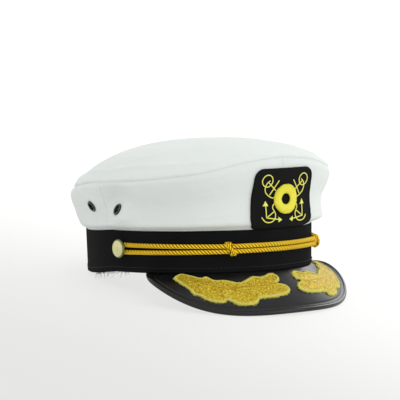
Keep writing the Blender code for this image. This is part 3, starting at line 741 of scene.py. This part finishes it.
def bar_along(name, path, guide, radius, sides=16, closed=False, core=None):
    """A round bar: path + r (cos a guide + sin a side).

    Its UVs are the length and the hoop or, where a core is given, the length and the way off that core.
    """
    guide, side = square_to(path, guide, closed)
    angle = np.linspace(0, 2 * math.pi, sides, endpoint=False)[None, :, None]
    radius = np.broadcast_to(radius, len(path))[:, None, None]
    points = path[:, None] + radius * (np.cos(angle) * guide[:, None] + np.sin(angle) * side[:, None])
    length = run_along(np.vstack([path, path[:1]]) if closed else path)
    hoop = np.linspace(0, 1, sides + 1)
    if core is not None:
        off = np.linalg.norm(points - core[:, None], axis=-1) / radius[:, :, 0]
        hoop = np.hstack([off, off[:, :1]])
        hoop = np.vstack([hoop, hoop[:1]]) if closed else hoop
    return surface(name, points, around=closed, hoop=True, flat=columns(length[:, None], hoop))


edge_turns = spread_turns(VISOR_TURN * BINDING_END, 321)
edge = visor_face(edge_turns, 1.0)
edge_way = unit(np.gradient(edge, axis=0))
edge_up = unit(np.cross(edge_way, edge - visor_face(edge_turns, 0.98)))
edge_line = edge + np.cross(edge_way, edge_up) * BINDING_WIDTH / 2 - edge_up * VISOR_BOARD / 2
edge_width = 0.50 + 0.50 * ease((VISOR_TURN * BINDING_END - np.abs(edge_turns)) / math.radians(6))
edge_width[[0, -1]] *= 0.3
binding = bar_along("visor_edge_binding", edge_line, edge_up, BINDING_WIDTH / 2 * edge_width, sides=28)
sew_on(binding, BINDING_VINYL, "black_vinyl", "visor_binding")

# ---- Leaf sprays
# Three oak leaves on each side of the visor, embroidered in gold: a thick satin border of pale yellow thread
# round a raised ground of glittering metal thread, with lower seams between the leaves.
SPRAY_THICKNESS = 0.0012
SPRAY_BORDER = 0.0018
SEAM_START = 0.0004
TRIM_SHIFT = 0.0034
SPRAY_STEP = 0.00042
SATIN_STEP = 0.0005
SATIN_RADIUS = 0.00021
SPRAY = np.array([
    # share of the visor's half turn, reach
    (0.795, 0.33), (0.770, 0.06), (0.700, 0.10), (0.630, 0.17), (0.590, 0.12), (0.540, 0.22), (0.465, 0.22),
    (0.380, 0.29), (0.330, 0.24), (0.270, 0.14), (0.200, 0.16), (0.120, 0.08), (0.080, 0.14), (0.075, 0.25),
    (0.110, 0.35), (0.055, 0.42), (0.040, 0.53), (0.070, 0.61), (0.130, 0.65), (0.200, 0.67), (0.270, 0.68),
    (0.295, 0.77), (0.345, 0.81), (0.405, 0.80), (0.465, 0.71), (0.495, 0.78), (0.580, 0.77), (0.620, 0.71),
    (0.665, 0.69), (0.685, 0.60),
])
LEAF_SEAMS = (
    # lines of (share of the half turn, reach) between the leaves
    ((0.27, 0.68), (0.33, 0.56), (0.44, 0.47), (0.56, 0.40), (0.69, 0.30)),
    ((0.11, 0.35), (0.19, 0.40), (0.31, 0.40), (0.44, 0.44)),
    ((0.465, 0.71), (0.50, 0.58), (0.56, 0.46)),
)
SPRAY_SCALE = np.array([VISOR_TURN * 0.105, 0.040])


def smooth_loop(corners, count):
    """A closed line through the corners: a cubic between each pair, sloped as the chord of its neighbours."""
    before, after, beyond = np.roll(corners, 1, 0), np.roll(corners, -1, 0), np.roll(corners, -2, 0)
    u = np.linspace(0, 1, count, endpoint=False)[None, :, None]
    a, b, c, d = (x[:, None] for x in (before, corners, after, beyond))
    line = b + 0.5 * u * (c - a + u * (2 * a - 5 * b + 4 * c - d + u * (3 * (b - c) + d - a)))
    return line.reshape(-1, corners.shape[1])


def even_path(path, step, closed):
    """The same line with points a step apart, read from a smooth curve through its points."""
    ends = [] if closed else [2 * path[-1] - path[-2], 2 * path[0] - path[1]]
    smooth = smooth_loop(np.vstack([path, *ends]), 12)
    smooth = np.vstack([smooth, smooth[:1]]) if closed else smooth[: 12 * (len(path) - 1) + 1]
    length = run_along(smooth)
    even = np.linspace(0, length[-1], max(4, int(length[-1] / step)))
    line = np.stack([np.interp(even, length, axis) for axis in smooth.T], -1)
    return line[:-1] if closed else line


def near_line(place, line, closed=True):
    """For each place the distance to a line, the nearest point on it and how far along it that lies."""
    line = np.vstack([line, line[:1]]) if closed else line
    best, found, run = np.full(place.shape[:-1], np.inf), place.copy(), np.zeros(place.shape[:-1])
    for start, way, sofar in zip(line, np.diff(line, axis=0), run_along(line)):
        share, point, distance = nearest_on(place, start, way)
        closer = distance < best
        best = np.where(closer, distance, best)
        found = np.where(closer[..., None], point, found)
        run = np.where(closer, sofar + share * np.linalg.norm(way), run)
    return best, found, run


def inside_loop(place, line):
    """True where a ray along the first axis crosses the loop an odd number of times."""
    odd = np.zeros(place.shape[:-1], bool)
    for (x0, y0), (x1, y1) in zip(line, np.roll(line, -1, 0)):
        spans = (y0 > place[..., 1]) != (y1 > place[..., 1])
        cross = x0 + (place[..., 1] - y0) * (x1 - x0) / (y1 - y0 if y1 != y0 else 1e-12)
        odd ^= spans & (place[..., 0] < cross)
    return odd


def pad_within(name, loop, step, lay, rise, seams=()):
    """A pad inside a loop: a grid, its rim drawn onto the loop, lifted off its ground by rise(distance in).

    A seam counts as an edge too, and the distance from the nearest one is kept as the pad's shade.
    """
    low, high = loop.min(0) - 2 * step, loop.max(0) + 2 * step
    grid = np.stack(
        np.meshgrid(np.arange(low[0], high[0], step), np.arange(low[1], high[1], step), indexing="ij"), -1
    )
    within = inside_loop(grid, loop)
    distance, nearest, run = near_line(grid, loop)
    beside = np.lib.stride_tricks.sliding_window_view(np.pad(within, 1), (3, 3)).any((2, 3))
    flat = np.where((beside & ~within)[..., None], nearest, grid)
    inwards = depth = np.where(within, distance, 0.0)
    off_seam = np.ones(depth.shape)
    for seam in seams:
        off_seam = np.minimum(off_seam, near_line(grid, seam, closed=False)[0])
        depth = np.minimum(depth, off_seam + SEAM_START)
    points = lay(flat) + grid_normals(lay(grid)) * np.where(within, rise(depth), 0.0)[..., None]
    return surface(name, points, flat=columns(run, inwards), keep=beside, shade=off_seam)


def ribs(tree, run, width):
    """Ridges that lie side by side: the sine of 2 pi run / width."""
    return calc(tree, "SINE", calc(tree, "MULTIPLY", run, 2 * math.pi / width))


def gold_finish():
    """Gold embroidery: satin threads across the border, turned flakes inside it with painted glints, dark
    seams.
    """
    made, tree, shader, place, cloth = finish(
        "gold embroidery", Metallic=0.3, Roughness=0.42, Specular_IOR_Level=0.1
    )
    run, inwards, _ = add_node(tree, "SeparateXYZ", {0: cloth}).outputs
    uneven = noise(tree, place, 900.0, 1.0)
    ragged = calc(tree, "ADD", inwards, calc(tree, "MULTIPLY", uneven, 0.0006))
    ground = ranged(tree, ragged, 0.0, 1.0, 0.0015, 0.0019, smooth=True)
    flakes = add_node(tree, "TexVoronoi", {"Vector": place, "Scale": 1550.0}).outputs["Color"]
    tone, tilt, shine = add_node(tree, "SeparateColor", {0: flakes}).outputs
    ramp = add_node(tree, "ValToRGB", {0: tone})
    ramp.color_ramp.elements.new(0.45)
    # Each flake's colour is partly the thread's own uneven tone and partly a painted glint, dark brown to
    # bright yellow.
    glitter = ((0.26, 0.135, 0.004), (0.50, 0.35, 0.012), (0.78, 0.63, 0.08))
    for element, colour in zip(ramp.color_ramp.elements, glitter):
        element.color = (*colour, 1)
    satin = tint(tree, uneven, (0.62, 0.56, 0.07), (0.82, 0.78, 0.20))
    off_seam = add_node(tree, "Attribute", attribute_name="shade").outputs["Fac"]
    on_leaf = ranged(tree, off_seam, 0.0, 1.0, 0.0001, 0.0005)
    colour = tint(tree, on_leaf, (0.34, 0.215, 0.01), tint(tree, ground, satin, ramp.outputs[0]))
    threads_up = ribs(tree, run, 0.00045)
    height = add_node(tree, "Mix", {0: ground, 2: threads_up, 3: tilt}, data_type="FLOAT").outputs[0]
    gloss = ranged(tree, shine, 0.28, 0.6)
    wire(tree, shader, Base_Color=colour, Normal=bump(tree, height, 0.8, 0.00022), Roughness=gloss)
    return made


def satin_finish(name, dark, light):
    """Shiny rayon thread: two near yellows in fine streaks."""
    made, tree, shader, place, _ = finish(name, Roughness=0.42, Specular_IOR_Level=0.25)
    wire(tree, shader, Base_Color=tint(tree, noise(tree, place, 900.0, 2.0), dark, light))
    return made


def lay_on_visor(flat):
    """Points of the visor's face, raised by half the gap along its normal."""
    share = flat / SPRAY_SCALE
    turn = share[..., 0] * VISOR_TURN - TRIM_SHIFT / round_length(0)
    base = visor_face(turn, share[..., 1])
    ahead, down_it = visor_face(turn + 1e-4, share[..., 1]), visor_face(turn, share[..., 1] + 1e-3)
    return base + GAP * 0.5 * unit(np.cross(ahead - base, down_it - base))


def quarter_round(depth):
    """The border's upper face as a share of its height: sqrt(1 - (1 - depth / half the border)^2)."""
    return np.sqrt(1 - (1 - np.clip(depth / (SPRAY_BORDER / 2), 0, 1)) ** 2)


def leaf_rise(depth):
    """A quarter round over half the border's width, then down a fifth to the glittering ground."""
    return SPRAY_THICKNESS * (quarter_round(depth) - 0.2 * ease((depth - SPRAY_BORDER) / 0.0005))


GOLD_THREAD = gold_finish()
SATIN_THREAD = satin_finish("pale satin thread", (0.60, 0.54, 0.06), (0.86, 0.80, 0.20))
for side, hand in HANDS:
    name, mirrored = "oak_spray_" + hand, SPRAY_SCALE * (side, 1)
    loop = smooth_loop(SPRAY * mirrored, 7)
    seams = [np.array(seam) * mirrored for seam in LEAF_SEAMS]
    spray = pad_within(name, loop, SPRAY_STEP, lay_on_visor, leaf_rise, seams)
    sew_on(spray, GOLD_THREAD, "gold_thread", "leaf_spray_" + hand)

    # Its satin stitches, each arching over the border from just outside it
    rim = even_path(SPRAY * mirrored, SATIN_STEP, closed=True)
    inwards = np.roll(rim, -1, 0) - np.roll(rim, 1, 0)
    inwards = unit(np.column_stack([-inwards[:, 1], inwards[:, 0]]))
    inwards *= 1 if inside_loop(rim + inwards * 0.0003, loop).mean() > 0.5 else -1
    uneven = np.random.default_rng(3 + side)
    starts = -0.0001 - 0.0012 * uneven.random(len(rim))[:, None] ** 3
    ends = SPRAY_BORDER * (0.75 + 0.5 * uneven.random(len(rim)))[:, None]
    over = np.linspace(0, 1, 6)
    reach_in = starts + (ends - starts) * over
    slant = 0.0003 * uneven.normal(size=len(rim))[:, None] * over
    stitch = rim[:, None] + inwards[:, None] * reach_in[..., None]
    stitch = stitch + columns(-inwards[:, 1], inwards[:, 0])[:, None] * slant[..., None]
    seat = lay_on_visor(stitch)
    above = unit(np.cross(lay_on_visor(stitch + (1e-4, 0)) - seat, lay_on_visor(stitch + (0, 1e-4)) - seat))
    lift = SPRAY_THICKNESS * quarter_round(reach_in) + 0.00004
    lift = np.where(over == 1, lift - 0.0002, lift)
    stitches = threads(name + "_stitches", seat + above * lift[..., None], SATIN_RADIUS, sides=5)
    sew_on(stitches, SATIN_THREAD, "gold_thread")

# ---- Badge patch
# A black felt patch, rounded at its corners, laid on the crown's front and bound round its edge with close
# black overlock stitches.
BADGE_WIDTH = 0.065
BADGE_TOP_WIDTH = 0.061
BADGE_HEIGHT = 0.0478
BADGE_OVER_BAND = 0.0006
BADGE_THICKNESS = 0.0018
BADGE_CORNER = 0.008
BADGE_EDGE = 0.0009
BADGE_BORDER = 0.0019
badge_middle = BAND_HEIGHT + BADGE_OVER_BAND + BADGE_HEIGHT / 2


def crown_front(flat, off=0.0):
    """Points of the crown's front over x and z, its turn found from x = -(half width + swell) sin turn."""
    x, z = flat[..., 0], flat[..., 1]
    turn = np.zeros(x.shape)
    for _ in range(6):
        height = np.clip((z - BAND_HEIGHT - GAP) / seam_rise(turn), -0.1, 1.1)
        half = BAND_WIDTH / 2 + swell(turn, height) * BAND_LENGTH / BAND_WIDTH
        turn = np.arcsin(np.clip(-x / half, -1, 1))
    return crown_side(turn, height, off)


badge_corners = []
for x_side, z_side, start in ((1, 1, 0), (-1, 1, 90), (-1, -1, 180), (1, -1, 270)):
    half = (BADGE_TOP_WIDTH if z_side > 0 else BADGE_WIDTH) / 2 - BADGE_CORNER
    middle = TRIM_SHIFT + x_side * half, badge_middle + z_side * (BADGE_HEIGHT / 2 - BADGE_CORNER)
    angles = np.radians(np.arange(start, start + 91, 15))
    badge_corners.append(middle + BADGE_CORNER * columns(np.cos(angles), np.sin(angles)))
badge_loop = np.vstack(badge_corners)


def felt_rise(depth):
    """Up in a quarter round over the edge, then down a little to the flat felt inside the border."""
    edge = np.sqrt(np.clip(1 - (1 - np.minimum(depth / BADGE_EDGE, 1)) ** 2, 0, 1))
    return BADGE_THICKNESS * (0.25 + 0.75 * edge - 0.16 * ease((depth - BADGE_BORDER) / 0.0007))


def felt_finish():
    """Black embroidered ground: fine upright threads inside, cross threads on the border."""
    made, tree, shader, place, cloth = finish(
        "black embroidered ground", Base_Color=(0.006, 0.006, 0.006, 1), Roughness=0.8,
        Specular_IOR_Level=0.12,
    )
    run, inwards, _ = add_node(tree, "SeparateXYZ", {0: cloth}).outputs
    across, _, _ = add_node(tree, "SeparateXYZ", {0: place}).outputs
    border = calc(tree, "LESS_THAN", inwards, BADGE_BORDER + 0.0002)
    inputs = {0: border, 2: ribs(tree, across, 0.0005), 3: ribs(tree, run, 0.0007)}
    height = add_node(tree, "Mix", inputs, data_type="FLOAT").outputs[0]
    wire(tree, shader, Normal=bump(tree, height, 0.7, 0.00015))
    return made


badge = pad_within("badge_felt", badge_loop, 0.0005, lambda flat: crown_front(flat, GAP), felt_rise)
sew_on(badge, felt_finish(), "black_felt", "badge_patch")

# ---- Life ring
# A padded life ring in the badge's middle: yellow satin stitch laid across a soft core, and sewn to the felt
# through its own stitches, which leave its edges a little ragged.
RING_DIAMETER = 0.023
RING_WIDTH = 0.0065
RING_THICKNESS = 0.002
RING_LOW = 0.001
RING_STITCHES = 118
RING_THREAD = 0.00032
SATIN = satin_finish("yellow satin stitch", (0.74, 0.67, 0.04), (0.85, 0.80, 0.09))
felt_off = GAP + BADGE_THICKNESS * 0.86


def on_ring(angle, half, lap, lift=0.0):
    """The ring's face: radius R - half cos lap at an angle, puffed up off the felt by 0.45 + 0.6 sin lap."""
    radius = (RING_DIAMETER - RING_WIDTH) / 2 - half * np.cos(lap)
    flat = columns(TRIM_SHIFT + radius * np.sin(angle), badge_middle - RING_LOW + radius * np.cos(angle))
    return crown_front(flat, felt_off + RING_THICKNESS * (0.45 + 0.6 * np.sin(lap)) + lift)


ring_angle = np.linspace(0, 2 * math.pi, 241)[:-1][:, None]
ring = on_ring(ring_angle, RING_WIDTH / 2, np.linspace(0, 2 * math.pi, 25)[:-1])
sew_on(surface("life_ring", ring, around=True, hoop=True), SATIN, "gold_thread", "badge_ring")
uneven = np.random.default_rng(11)
over = np.linspace(-0.35, math.pi + 0.35, 9)
wide = RING_WIDTH / 2 + 0.0002 + 0.0003 * uneven.random(RING_STITCHES)[:, None]
slant = np.linspace(0, 2 * math.pi, RING_STITCHES, endpoint=False)[:, None]
slant = slant + 0.02 * uneven.normal(size=RING_STITCHES)[:, None] * np.cos(over)
ring_stitches = threads("life_ring_stitches", on_ring(slant, wide, over, RING_THREAD / 4), RING_THREAD)
sew_on(ring_stitches, SATIN, "gold_thread")

# ---- Crossed anchors
# Two fouled anchors cross behind the life ring, drawn in single rows of pale yellow thread that stand up from
# the felt: a ring, a stock and a shank above, a crown with two barbed flukes below, and a rope on each.
ANCHOR_LINE = 0.0009
ANCHOR = {
    # lines of (x, z) in mm from the ring's middle, for the anchor whose crown lies to the wearer's left
    "ring": ((-13.9, 15.0), (-15.4, 18.4), (-18.8, 19.8), (-22.2, 18.4), (-23.8, 15.0), (-22.2, 11.6),
             (-18.8, 10.2), (-15.4, 11.6)),
    "shank": ((-17.6, 13.6), (-8.4, 5.6)),
    "stock": ((-7.6, 15.0), (-15.8, 3.6)),
    "rope": ((-16.4, 15.2), (-19.0, 13.2), (-20.4, 10.2), (-20.2, 7.2), (-18.8, 4.8), (-16.4, 2.8),
             (-13.6, 1.4), (-10.8, 1.2)),
    "arm_up": ((19.0, -14.4), (19.3, -4.6)),
    "arm_across": ((19.0, -14.4), (7.4, -16.2)),
    "shank_end": ((18.0, -13.8), (11.6, -9.6)),
    "rope_end": ((11.0, -3.2), (12.6, -5.0), (12.8, -7.2), (11.5, -9.4), (10.4, -12.2), (11.2, -15.4),
                 (13.6, -17.6), (16.8, -18.2), (19.8, -17.6), (22.0, -15.8), (23.4, -13.8)),
    "barb_up": ((19.4, -0.8), (16.7, -5.2), (22.0, -5.0)),
    "barb_across": ((3.8, -16.6), (7.6, -13.9), (7.4, -18.6)),
}
LINE_FINISH = satin_finish("pale yellow thread", (0.74, 0.72, 0.10), (0.90, 0.88, 0.22))


def barb_rise(depth):
    """From three tenths of a line's thickness at the edge up to eight tenths inside."""
    return ANCHOR_LINE * (0.3 + 0.5 * ease(depth / 0.0006))


ring_middle = np.array([TRIM_SHIFT, badge_middle - RING_LOW])
for hand, side in (("left", 1), ("right", -1)):
    for part, shape in ANCHOR.items():
        name, shape = f"anchor_{hand}_{part}", np.array(shape) * (side / 1000, 1 / 1000) + ring_middle
        if part.startswith("barb"):
            piece = pad_within(name, shape, 0.0004, lambda flat: crown_front(flat, felt_off), barb_rise)
        else:
            line = even_path(shape, 0.0005, closed=part == "ring")
            path = crown_front(line, felt_off + ANCHOR_LINE * 0.2)
            out = crown_front(line, felt_off + 0.01) - path
            piece = bar_along(name, path, out, ANCHOR_LINE / 2, sides=8, closed=part == "ring")
        sew_on(piece, LINE_FINISH, "gold_thread")

# ---- Strap
# Three-ply twisted cord of shiny gold rayon, one closed loop round the shanks of the two buttons, so that two
# strands lie along the band. A cord knot near each end draws the strands together.
STRAP_HEIGHT = 0.0195
STRAP_CLEARANCE = 0.0004
CORD_DIAMETER = 0.0037
CORD_LAY = 0.0086
PLY_RADIUS = 0.24
PLY_OFF = 0.265
KNOT_TURNS = (math.radians(27), math.radians(-36))
KNOT_WIDTH = 0.0072
KNOT_LIFT = 0.0013
BUTTON_TURN = math.radians(82.5)
POST_DIAMETER = 0.0014


def off_band(turn, height, off):
    """Points off the band's outer face at a height over its lower edge."""
    return standing(outline(turn, off - BAND_TAPER * (1 - np.asarray(height) / BAND_HEIGHT)), height)


def rope_finish():
    """Gold rayon: painted highlights on ply crests, painted deep orange shade where plies meet, fine fibres
    as relief.
    """
    made, tree, shader, place, cloth = finish("gold rayon cord", Roughness=0.4, Specular_IOR_Level=0.2)
    off_core = add_node(tree, "SeparateXYZ", {0: cloth}).outputs[1]
    # Painted shade: near black brown in the valleys where the plies meet, the cord's own orange on their
    # crests.
    unshaded_crest = ranged(tree, off_core, 0.0, 1.0, 1.66, 2.04, smooth=True)
    top = tint(tree, noise(tree, place, 60.0, 2.0), (0.93, 0.44, 0.002), (1.0, 0.72, 0.006))
    # Painted highlight: a pale yellow glint along the very top of each crest.
    painted_glint = ranged(tree, off_core, 0.0, 1.0, 2.04, 2.12)
    colour = tint(tree, painted_glint, tint(tree, unshaded_crest, (0.07, 0.022, 0.001), top), (1.0, 0.86, 0.06))
    wire(tree, shader, Base_Color=colour, Normal=bump(tree, noise(tree, place, 1800.0, 1.0), 0.4, 0.0001))
    return made


GOLD_CORD = rope_finish()


def lay_cord(name, node, path, guide, diameter, lay, closed=False):
    """Three plies at path + off (cos p guide + sin p side), p turning once in each lay, each a round bar."""
    guide, side = square_to(path, guide, closed)
    run = run_along(np.vstack([path, path[:1]]) if closed else path)
    turns = max(1, round(run[-1] / lay)) if closed else run[-1] / lay
    for ply in range(3):
        phase = 2 * math.pi * (turns * run[: len(path), None] / run[-1] + ply / 3)
        line = path + diameter * PLY_OFF * (np.cos(phase) * guide + np.sin(phase) * side)
        bar = bar_along(
            f"{name}_ply_{ply + 1}", line, guide, diameter * PLY_RADIUS, sides=10, closed=closed, core=path
        )
        sew_on(bar, GOLD_CORD, "gold_cord", node)


cord_out = STRAP_CLEARANCE + CORD_DIAMETER / 2
loop_radius = POST_DIAMETER / 2 + STRAP_CLEARANCE + CORD_DIAMETER / 2
knot_spread = (CORD_DIAMETER + STRAP_CLEARANCE) / 2
right_knot, left_knot = KNOT_TURNS
strand_turns = np.concatenate([
    np.linspace(BUTTON_TURN, right_knot, 11, endpoint=False),
    np.linspace(right_knot, left_knot, 13, endpoint=False),
    np.linspace(left_knot, -BUTTON_TURN, 10),
])
apart = (strand_turns - right_knot) / (BUTTON_TURN - right_knot)
apart = np.maximum(apart, (strand_turns - left_knot) / (-BUTTON_TURN - left_knot))
spread = knot_spread + (loop_radius - knot_spread) * np.maximum(apart, 0)
from_knots = np.abs(strand_turns[:, None] - KNOT_TURNS).min(1) * round_length(0) / KNOT_WIDTH
raised = cord_out + KNOT_LIFT * np.exp(-((from_knots / 1.75) ** 2))
bend = np.radians(np.arange(30, 180, 30))
bend_turns = BUTTON_TURN + loop_radius * np.sin(bend) / round_length(BUTTON_TURN)
bend_heights = STRAP_HEIGHT + loop_radius * np.cos(bend)
strap_line = np.concatenate([
    off_band(strand_turns, STRAP_HEIGHT + spread, raised),
    off_band(-bend_turns, bend_heights, cord_out),
    off_band(strand_turns, STRAP_HEIGHT - spread, raised)[::-1],
    off_band(bend_turns, bend_heights[::-1], cord_out),
])
cord_path = even_path(strap_line, 0.0007, closed=True)
outward = standing(unit(cord_path[:, :2] / BAND_HALF**2), 0.0)
lay_cord("strap", "strap_cord", cord_path, outward, CORD_DIAMETER, CORD_LAY, closed=True)

# ---- Strap knots
# Each knot is the same cord, thinner where it is pulled tight, wound twice round both strands, its ends
# tucked in behind them.
KNOT_CORD = 0.0029
KNOT_PRESS = 0.40
KNOT_SPREAD = 0.66
KNOT_SLANT = 0.0026
wrap = np.linspace(0.1, 1.9, 90) * 2 * math.pi
far = CORD_DIAMETER / 2 + KNOT_CORD * KNOT_PRESS
knot_high = STRAP_HEIGHT + (far + CORD_DIAMETER * KNOT_PRESS) * np.sin(wrap)
knot_deep = np.maximum(cord_out + KNOT_LIFT + far * np.cos(wrap), KNOT_CORD / 2 + 0.0002)
knot_shift = KNOT_WIDTH * KNOT_SPREAD * (0.5 - wrap / (4 * math.pi)) - KNOT_SLANT * np.sin(wrap)
for knot, hand in ((right_knot, "right"), (left_knot, "left")):
    path = off_band(knot - knot_shift / round_length(knot), knot_high, knot_deep)
    path = even_path(path, 0.0006, closed=False)
    middle = off_band(np.array([knot]), STRAP_HEIGHT, cord_out + KNOT_LIFT)
    lay_cord("knot_" + hand, "strap_knot_" + hand, path, path - middle, KNOT_CORD, CORD_LAY * 0.7)

# ---- Buttons
# Domed brass-coloured buttons, thin metal pressed over a plain back, with a rim darkened by painted shade and
# a low worn anchor in the middle. Each is held by a shank through the band, and the strap's loop goes round
# that shank.
BUTTON_DIAMETER = 0.015
BUTTON_DEPTH = 0.0034
BUTTON_LEAN = math.radians(7)
BUTTON_PROFILE = np.array([
    # out, forward
    (0.00, 0.93), (0.12, 0.93), (0.25, 0.91), (0.40, 0.87), (0.55, 0.80), (0.68, 0.71), (0.76, 0.64),
    (0.80, 0.61), (0.83, 0.64), (0.87, 0.66), (0.92, 0.60), (0.97, 0.48), (1.00, 0.36), (1.00, 0.22),
    (0.98, 0.12), (0.93, 0.02), (0.80, 0.00), (0.40, 0.00), (0.17, 0.00), (0.16, -0.30), (0.16, -0.95),
])
BUTTON_RELIEF = 0.00045
BUTTON_ANCHOR = (
    # lines of (across, up) in shares of the radius, an upright anchor
    ((0.0, 0.46), (0.0, -0.46)),
    ((-0.24, 0.26), (0.24, 0.26)),
    ((-0.42, -0.14), (-0.30, -0.34), (0.0, -0.48), (0.30, -0.34), (0.42, -0.14)),
    ((0.0, 0.46), (-0.08, 0.54), (0.0, 0.62), (0.08, 0.54), (0.0, 0.46)),
)
ANCHOR_WIDTH = 0.085
BRASS, tree, shader, place, _ = finish("pale brass", Metallic=0.85, Roughness=0.35)
tarnish = noise(tree, place, 300.0, 4.0)
brass = tint(tree, tarnish, (0.56, 0.54, 0.24), (0.80, 0.78, 0.42))
out_share = add_node(tree, "Attribute", attribute_name="shade").outputs["Fac"]
# Painted shade: the outer rim is darkened to a dull olive.
painted_rim_shade = ranged(tree, out_share, 0.0, 1.0, 0.82, 0.92)
wire(
    tree, shader, Base_Color=tint(tree, painted_rim_shade, brass, (0.17, 0.18, 0.08)),
    Roughness=ranged(tree, tarnish, 0.45, 0.28),
)
button_back = STRAP_CLEARANCE + CORD_DIAMETER + GAP
button_back += (loop_radius + CORD_DIAMETER / 2) * math.sin(BUTTON_LEAN)
face = np.linspace(0.03, 0.80, 26)
profile = np.vstack([
    columns(face, np.interp(face, BUTTON_PROFILE[:8, 0], BUTTON_PROFILE[:8, 1])), BUTTON_PROFILE[8:]
])
turned = -np.linspace(0, 2 * math.pi, 96, endpoint=False)[:, None]
spots = columns(profile[:, 0] * np.cos(turned), profile[:, 0] * np.sin(turned))
off_anchor = np.min([near_line(spots, np.array(line), closed=False)[0] for line in BUTTON_ANCHOR], 0)
on_face = np.arange(len(profile)) < len(face)
relief = BUTTON_RELIEF * np.exp(-((off_anchor / ANCHOR_WIDTH) ** 2)) * on_face
for side, hand in HANDS:
    seat, front = off_band(side * BUTTON_TURN, STRAP_HEIGHT, np.array([button_back, button_back + 1]))
    facing = unit(front - seat - np.cross((0, 0, side), front - seat) * math.tan(BUTTON_LEAN))
    grid = turned_on(profile * (BUTTON_DIAMETER / 2, BUTTON_DEPTH), seat, facing, len(turned))
    grid = grid + relief[..., None] * facing
    peak = seat + facing * (BUTTON_DEPTH * BUTTON_PROFILE[0, 1] + BUTTON_RELIEF)
    out_shares = np.broadcast_to(profile[:, 0], grid.shape[:2])
    button = surface(f"button_{hand}_metal", grid, around=True, peak=peak, shade=out_shares)
    sew_on(button, BRASS, "pale_brass", "button_" + hand)

# ---- Setting
# A white table in a light tent, seen a little from above and from the wearer's right front. The table's glow
# is
# painted light: it glows a little itself, more towards the back of the view and all round far out, so that it
# stays white and the cap's shadows on it stay faint.
world = bpy.data.worlds.new("light tent")
bpy.context.scene.world = world
world.use_nodes = True
world.node_tree.nodes["Background"].inputs["Color"].default_value = (1.0, 1.0, 1.0, 1)
world.node_tree.nodes["Background"].inputs["Strength"].default_value = 1.0

TABLE, tree, shader, place, _ = finish(
    "lit white table", Base_Color=(0.16, 0.16, 0.157, 1), Roughness=0.7, Specular_IOR_Level=0.1,
    Emission_Color=(1.0, 1.0, 0.99, 1),
)
depth = add_node(tree, "VectorMath", {0: place, 1: (1.40, 0.14, 0.0)}, operation="DOT_PRODUCT").outputs[1]
away = add_node(tree, "VectorMath", {0: place}, operation="LENGTH").outputs[1]
# Painted light: the table's own glow, which keeps the cap's shadows on it faint.
painted_glow = ranged(tree, depth, 0.59, 0.84, -0.5, 0.3, smooth=True)
fade = ranged(tree, away, 0.0, 0.84, 0.5, 1.5, smooth=True)
wire(tree, shader, Emission_Strength=calc(tree, "MAXIMUM", painted_glow, fade))
table_mesh = bpy.data.meshes.new("table")
table_mesh.from_pydata([(-3, -3, 0), (3, -3, 0), (3, 3, 0), (-3, 3, 0)], [], [(0, 1, 2, 3)])
table_mesh.materials.append(TABLE)
table = bpy.data.objects.new("table", table_mesh)
table.location.z = -0.0001
bpy.context.scene.collection.objects.link(table)

CAMERA_TURN, CAMERA_RISE, CAMERA_ROLL = np.radians([39.36, 4.95, -1.17])
CAMERA_DISTANCE = 2.0
PIXELS_PER_METRE = 1198.0
AXIS_PIXEL = (199.30, 263.50)
FRAME_PIXELS = 400
SENSOR = 36
back = np.array([
    -math.sin(CAMERA_TURN) * math.cos(CAMERA_RISE),
    -math.cos(CAMERA_TURN) * math.cos(CAMERA_RISE),
    math.sin(CAMERA_RISE),
])
flat_right = np.array([math.cos(CAMERA_TURN), -math.sin(CAMERA_TURN), 0])
straight_up = np.cross(back, flat_right)
right = math.cos(CAMERA_ROLL) * flat_right + math.sin(CAMERA_ROLL) * straight_up
upright = -math.sin(CAMERA_ROLL) * flat_right + math.cos(CAMERA_ROLL) * straight_up
focal = PIXELS_PER_METRE * CAMERA_DISTANCE
aim = FRAME_PIXELS / 2 - AXIS_PIXEL[0], AXIS_PIXEL[1] - FRAME_PIXELS / 2
stand = back * CAMERA_DISTANCE
sight = -back * focal + right * aim[0] + upright * aim[1]
eye, ahead, above = (Vector(point) for point in at_rest(np.stack([stand, stand + sight, stand + upright])))
forward = (ahead - eye).normalized()
head = above - eye
head = (head - forward * head.dot(forward)).normalized()
across = forward.cross(head)
camera = bpy.data.objects.new("camera", bpy.data.cameras.new("camera"))
camera.data.sensor_width = SENSOR
camera.data.lens = math.hypot(focal, aim[1]) / FRAME_PIXELS * SENSOR
camera.matrix_world = Matrix((
    (across.x, head.x, -forward.x, eye.x),
    (across.y, head.y, -forward.y, eye.y),
    (across.z, head.z, -forward.z, eye.z),
    (0, 0, 0, 1),
))
camera.data.clip_end = 20
bpy.context.scene.collection.objects.link(camera)
bpy.context.scene.camera = camera


def softbox(name, place, size, power):
    """A square area light that faces the cap."""
    lamp = bpy.data.lights.new(name, "AREA")
    lamp.energy, lamp.size = power, size
    made = bpy.data.objects.new(name, lamp)
    made.location = place
    made.rotation_euler = (Vector((0, 0, 0.05)) - Vector(place)).to_track_quat("-Z", "Y").to_euler()
    bpy.context.scene.collection.objects.link(made)


softbox("top_softbox", (0.2, 0.2, 1.3), 1.0, 1.2)
softbox("front_softbox", (0.6, -1.2, 0.6), 0.9, 3.1)
softbox("back_softbox", (1.3, 0.5, 0.7), 0.7, 3.2)
bpy.context.scene.view_settings.view_transform = "Standard"
